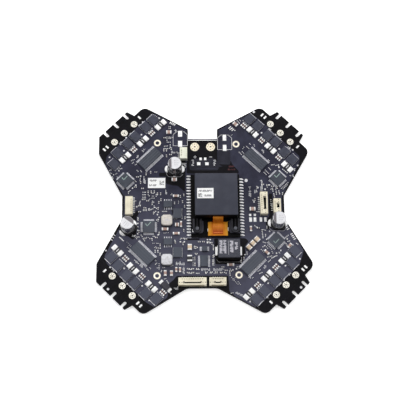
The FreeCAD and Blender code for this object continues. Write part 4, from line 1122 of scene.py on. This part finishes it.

# ---- Cable connectors ----
# Moulded cream nylon housings with a latch slot in the roof, two pin-gate dimples at each end and
# tinned contacts that come out behind; slot and dimples are thin dark plates, painted shadow. The one by
# the power pads is paler and greener.
nylon = moulded_finish("cream_nylon", (222, 214, 190), (236, 229, 206), 0.45)
pale_nylon = moulded_finish("pale_green_nylon", (222, 224, 204), (236, 236, 220), 0.45)
shade_black = moulded_finish("slot_shadow", (10, 9, 9), (20, 18, 17), 0.8, 0.1)
tick_tone = moulded_finish("contact_line_tone", (116, 108, 78), (136, 128, 96), 0.5)
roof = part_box("connector_left")[1].z / MM
slot_shadow_plates, ticks, closed = [], [], []
connector_facts = (("right_inner", 90, 8, nylon), ("right_outer", 90, 4, nylon), ("left", -90, 6, nylon),
                   ("top", 90, 3, pale_nylon), ("bottom_long", 0, 10, nylon), ("bottom_short", 0, 5, nylon))
for name, turn, count, material in connector_facts:
    softened("connector_" + name, 0.14, "housing_" + name, "board", material)
    low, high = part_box("connector_" + name)
    middle = (low + high) / 2 / MM
    length = max(high.x - low.x, high.y - low.y) / MM
    angle = math.radians(turn)

    def at(along, out):
        return (middle.x + along * math.cos(angle) - out * math.sin(angle),
                middle.y + along * math.sin(angle) + out * math.cos(angle))

    window = max(length - 2.8 - 3.4, 2.0)
    front, back = (-1.15, 0.0) if "right" in name else (-1.2, -0.5) if "bottom" in name else (-0.78, 0.08)
    opening = [at(-window / 2 + 0.02, front), at(window / 2 - 0.02, front), at(window / 2 - 0.02, back),
               at(-window / 2 + 0.02, back)]
    if "right" not in name:
        closed.append(([at(-window / 2 + 0.02, -0.78), at(window / 2 - 0.02, -0.78),
                        at(window / 2 - 0.02, 0.08), at(-window / 2 + 0.02, 0.08)], material))
    # Painted shadow: dark plates for the latch slot and the pin-gate dimples.
    if name not in ("top", "left"):
        slot_shadow_plates.append(opening)
        for side in (-1, 1):
            square = [at(side * window / 2 - 0.4, front - 0.1), at(side * window / 2 + 0.4, front - 0.1),
                      at(side * window / 2 + 0.4, back + 0.35), at(side * window / 2 - 0.4, back + 0.35)]
            slot_shadow_plates.append(square)
            reach = length / 2 - 0.7
            for along, out in ((reach, -0.75), (reach - 1.35, -0.75)):
                if along > window / 2 + 0.6:
                    ink_dot(slot_shadow_plates, *at(side * along, out), 0.24, 10)
    for i in range(count):
        along = (i - (count - 1) / 2) * 1.25
        ink_line(ticks, *at(along, 0.95), *at(along, 1.55), 0.28)
    ink_line(ticks, *at(-length / 2 + 1.2, 1.25), *at(length / 2 - 1.2, 1.25), 0.14)
for number, (opening, material) in enumerate(closed):
    printed([opening], roof - 0.4, "latch_bar_%d" % (number + 1), material, 0.36)
# Painted shadow laid over the latch slots and dimples.
printed(slot_shadow_plates, roof - 0.005, "latch_slot_and_dimple_shadows", shade_black, 0.02)
printed(ticks, roof - 0.005, "contact_lines", tick_tone, 0.015)
bright_tin = metal_finish("bright_tin_contacts", (240, 240, 236), (214, 214, 210), 0.35, 0.34)
dress("connector_contacts", bright_tin)

# ---- Control module ----
# A small black board soldered flat on the main one along both long sides: each plated half hole
# holds a domed fillet of bright solder.
dress("module_board", masked_finish("module_black_mask", (2, 2, 3), (5, 5, 6), 0.6))
module_low, module_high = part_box("module_board")
joint_spots = []
for x, y, low, turn in spots_of("module_solder_joints"):
    side = 1 if x > (module_low.x + module_high.x) / 2 / MM else -1
    edge = (module_high.x if side > 0 else module_low.x) / MM
    joint_spots.append((edge + side * 1.1, y, UP + 0.02, 0 if side > 0 else 180))


def module_fillet(reach):
    """Half a drop of solder: high against the board's edge, thin at its outer end."""
    drop = half_ball(reach, 0.52, 0.95, 20, 10)
    for vert in drop.data.vertices:
        along = vert.co.x / (reach * MM)
        vert.co.z *= 0.62 - 0.34 * along
        vert.co.y -= 0.00022 * max(along, 0) ** 2
    bpy.ops.object.shade_smooth_by_angle(angle=math.radians(50))
    return drop


fillets = copy_to(module_fillet(1.45), joint_spots, "fillet")
finish_piece(fillets, "module_solder_fillets", "board", solder, ("module_solder_joints",))

# ---- Floating sensor block ----
# A satin grey moulded cover, its walls painted near-black as shade, over a weighted base and the sensor
# board; it floats on four foam pads.
cover = Finish("satin_grey_cover", Specular_IOR_Level=0.15)
cover_grain = cover.noise(2400, 3)
cover_cloud = cover.noise(140, 2)
x, y, z = cover.axes()
roof_mask = z > (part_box("sensor_cover")[1].z - 0.0003)
roof_tone = cover.tone(cover_cloud, 0.35, 0.7, (60, 62, 73), (68, 70, 81))
# Painted shade: the walls are near-black below the satin grey roof.
painted_shade_wall_tone = cover.mix(cover_grain, shade(5, 5, 6), shade(11, 11, 13))
cover.feed("Base Color", cover.mix(roof_mask, painted_shade_wall_tone, roof_tone))
cover.roughen(cover_grain, 0.5, 0.66)
cover.bump(cover_grain, 0.00004, 0.5)
softened("sensor_cover", 0.1, "sensor_cover_moulded", "sensor_block", cover.material,
         2, 25)
dress("sensor_base", metal_finish("cast_weight", (120, 118, 116), (96, 94, 92), 0.8, 0.45))
dress("sensor_board", board_black)

foam = Finish("open_cell_foam", Specular_IOR_Level=0.1)
cells = foam.node("ShaderNodeTexVoronoi", {}, {"Vector": foam.place(), "Scale": 3200.0})
foam.feed("Base Color", foam.mix(cells, shade(38, 38, 41), shade(16, 16, 18)))
foam.feed("Roughness", foam.spread(cells, 0, 1, 0.85, 0.98))
foam.bump(cells, 0.0001, 0.8)


def foam_pad(length, width, height):
    """A cut foam cushion whose four walls bow out a little under the block's weight."""
    plain_block(length, width, height)
    bpy.ops.object.mode_set(mode="EDIT")
    bpy.ops.mesh.select_all(action="SELECT")
    bpy.ops.mesh.subdivide(number_cuts=7)
    bpy.ops.object.mode_set(mode="OBJECT")
    for vert in bpy.context.object.data.vertices:
        swell = 1 + 0.035 * math.sin(math.pi * vert.co.z / (height * MM))
        vert.co.x *= swell
        vert.co.y *= swell
    bpy.ops.object.shade_smooth_by_angle(angle=math.radians(40))
    return bpy.context.object


foam_spots, foam_length, foam_width, foam_height = [], 0, 0, 0
for x, y, low, turn, length, width, height in solids("foam_pads"):
    foam_spots.append((x, y, low, 0))
    foam_length, foam_width, foam_height = length, width, height
pads = copy_to(foam_pad(foam_length - 0.15, foam_width - 0.15, foam_height), foam_spots, "foam")
pads.name = "foam_cushions"
pads.data.materials.clear()
pads.data.materials.append(foam.material)
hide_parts("foam_pads")
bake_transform(pads)

# ---- Flexible tape and its connector ----
# A polyimide tape with copper tracks leaves the block, drops in an S and is soldered on a wide golden head
# that is fixed to the module. Its low bend is painted darker as shade, and its folds carry painted
# highlights.
amber = Finish("amber_polyimide", Coat_Weight=0.0, Specular_IOR_Level=0.15)
x, y, z = amber.axes()
track = amber.wave(x, 9200.0)
smeared = {"Vector": amber.place(), "Scale": (6, 1, 1)}
smear = amber.noise(500, 2, amber.node("ShaderNodeMapping", {}, smeared))
hot = amber.mix(amber.spread(track + smear * 1.2, -0.3, 1.4, 0, 1), shade(188, 74, 4), shade(255, 172, 56))
bend_shade_tone = amber.mix(smear, shade(120, 26, 0), shade(182, 62, 4))
# Painted shade: the tape turns darker red towards its low end, where it bends down.
bend_shade_mask = amber.spread(y, -0.0150, -0.0120, 1, 0)
amber.feed("Base Color", amber.mix(bend_shade_mask * 0.85, hot, bend_shade_tone))
amber.roughen(smear, 0.3, 0.46)
amber.bump(track, 0.00004, 0.5)
head_low, head_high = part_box("flex_head")

honey = Finish("golden_head_film", Specular_IOR_Level=0.15)
hx = honey.axes()[0]
clouds = honey.noise(420, 3)
centre = (head_low.x + head_high.x) / 2
edge_glow = honey.spread((hx - centre) * (hx - centre), 0.0000115, 0.000026, 0, 1)
inner = honey.mix(clouds, shade(196, 104, 12), shade(226, 140, 34))
outer = honey.mix(clouds, shade(206, 128, 20), shade(244, 184, 66))
honey.feed("Base Color", honey.mix(edge_glow, inner, outer))
honey.roughen(clouds, 0.32, 0.5)
honey.bump(clouds, 0.00004, 0.4)
softened("flex_head", 0.08, "flex_head_plate", "board", honey.material)

tape = own_copy("flex_strip", 0.2)
bpy.ops.object.shade_smooth_by_angle(angle=math.radians(40))
tape.name = "flex_tape"
tape.data.materials.clear()
tape.data.materials.append(amber.material)
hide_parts("flex_strip")
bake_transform(tape)


def upright(left, right, low, high):
    """A rectangle's outline."""
    return [(left, low), (right, low), (right, high), (left, high)]


# Painted highlights: bright orange strips laid along the tape's two folds.
fold_gleam = metal_finish("fold_gleam", (250, 150, 70), (224, 110, 30), 0.1, 0.4)
fold_highlight_strips = [upright(5.4, 10.8, -15.75, -15.5), upright(5.5, 10.7, -12.1, -12.02)]
printed(fold_highlight_strips, 3.31, "tape_fold_highlight", fold_gleam, 0.02)
tabs = [upright(13.35, 14.05, -14.6, -12.4), upright(2.2, 2.75, -14.8, -13.2)]
finish_piece(flat_shape("tabs", tabs, UP + 1.0, 0.45, 0.15), "head_side_tabs", "board", solder)

# ---- Rubber cradles and tether pins ----
# Two moulded rubber slings on the module hold the round pins at the front of the floating block,
# so the block can move only a little.
rubber = moulded_finish("grey_rubber", (38, 38, 44), (52, 52, 58), 0.6, 0.2)
softened("rubber_cradles", 0.28, "rubber_slings", "board", rubber, 3)
boot_outline = [(2.5, 5.0), (3.6, 5.0), (3.6, -1.0), (2.6, -2.5), (-3.4, -2.5), (-3.4, -1.7), (-1.2, -2.1),
                (1.4, -2.0), (2.5, -0.5)]
boots = []
for x, toward in ((-3.7, 1), (18.0, -1)):
    boots.append([(x + toward * across, -13.6 + out) for across, out in boot_outline])
foot_rubber = moulded_finish("worn_grey_rubber", (58, 58, 68), (72, 72, 82), 0.6, 0.2)
finish_piece(flat_shape("boots", boots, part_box("rubber_cradles")[0].z / MM, 1.2, 0.5), "sling_feet",
             "board", foot_rubber)
pin_plastic = Finish("pin_plastic", Specular_IOR_Level=0.2)
x, y, z = pin_plastic.axes()
pin_grain = pin_plastic.noise(2600, 3)
pin_head = pin_plastic.mix(pin_grain, shade(84, 86, 94), shade(100, 102, 110))
pin_bar = pin_plastic.mix(pin_grain, shade(22, 22, 25), shade(32, 32, 36))
pin_plastic.feed("Base Color", pin_plastic.mix(y > -0.0126, pin_head, pin_bar))
pin_plastic.roughen(pin_grain, 0.4, 0.55)
pin_plastic.bump(pin_grain, 0.00003, 0.5)
softened("tether_pins", 0.18, "tether_pin_heads", "sensor_block", pin_plastic.material,
         3)
clips = [upright(-6.55, -5.9, -15.6, -13.4), upright(19.6, 20.1, -14.9, -13.4)]
finish_piece(flat_shape("clips", clips, UP + 1.0, 0.3, 0.12), "cradle_side_clips", "board", solder)

# ---- Paper labels ----
# Two white stickers, one on the block and one on the board, each printed with plain dashes and a
# small square of dots in place of any wording.
paper = Finish("label_paper", Specular_IOR_Level=0.25)
fibre = paper.noise(2200, 3)
paper.feed("Base Color", paper.mix(fibre, shade(238, 238, 238), shade(250, 250, 250)))
paper.roughen(fibre, 0.6, 0.75)
paper.bump(fibre, 0.00002, 0.4)
for node in ("module_label", "board_label"):
    dress(node, paper.material)
label_ink = ink_finish("label_ink", (50, 50, 54), (86, 86, 92), scale=2600)
for node, body, square_at in (("module_label", "sensor_block", -1), ("board_label", "board", 1)):
    low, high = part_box(node)
    left, right, bottom, top = low.x / MM, high.x / MM, low.y / MM, high.y / MM
    marks = []
    cell = 0.32
    start = left + 0.7 if square_at < 0 else right - 0.7 - 8 * cell
    base = bottom + 0.7 if square_at < 0 else bottom + (top - bottom) / 2 - 4 * cell
    size = 8 if square_at > 0 else 7
    for row in range(size):
        for column in range(size):
            if random.random() < 0.52 or row == 0 or column == 0:
                ax, ay = start + column * cell, base + row * cell
                marks.append([(ax, ay), (ax + cell * 0.92, ay), (ax + cell * 0.92, ay + cell * 0.92),
                              (ax, ay + cell * 0.92)])
    lines = ((left + 0.9, top - 2.3, 9), (left + 3.9, bottom + 1.0, 5)) if square_at < 0 else (
        (left + 0.8, top - 2.3, 5), (left + 0.8, bottom + 1.1, 5))
    for x, y, count in lines:
        ink_bars(marks, x, y, count, 0, 0.86, 1.2)
    printed(marks, high.z / MM, node + "_marks", label_ink, thickness=0.01, body=body)
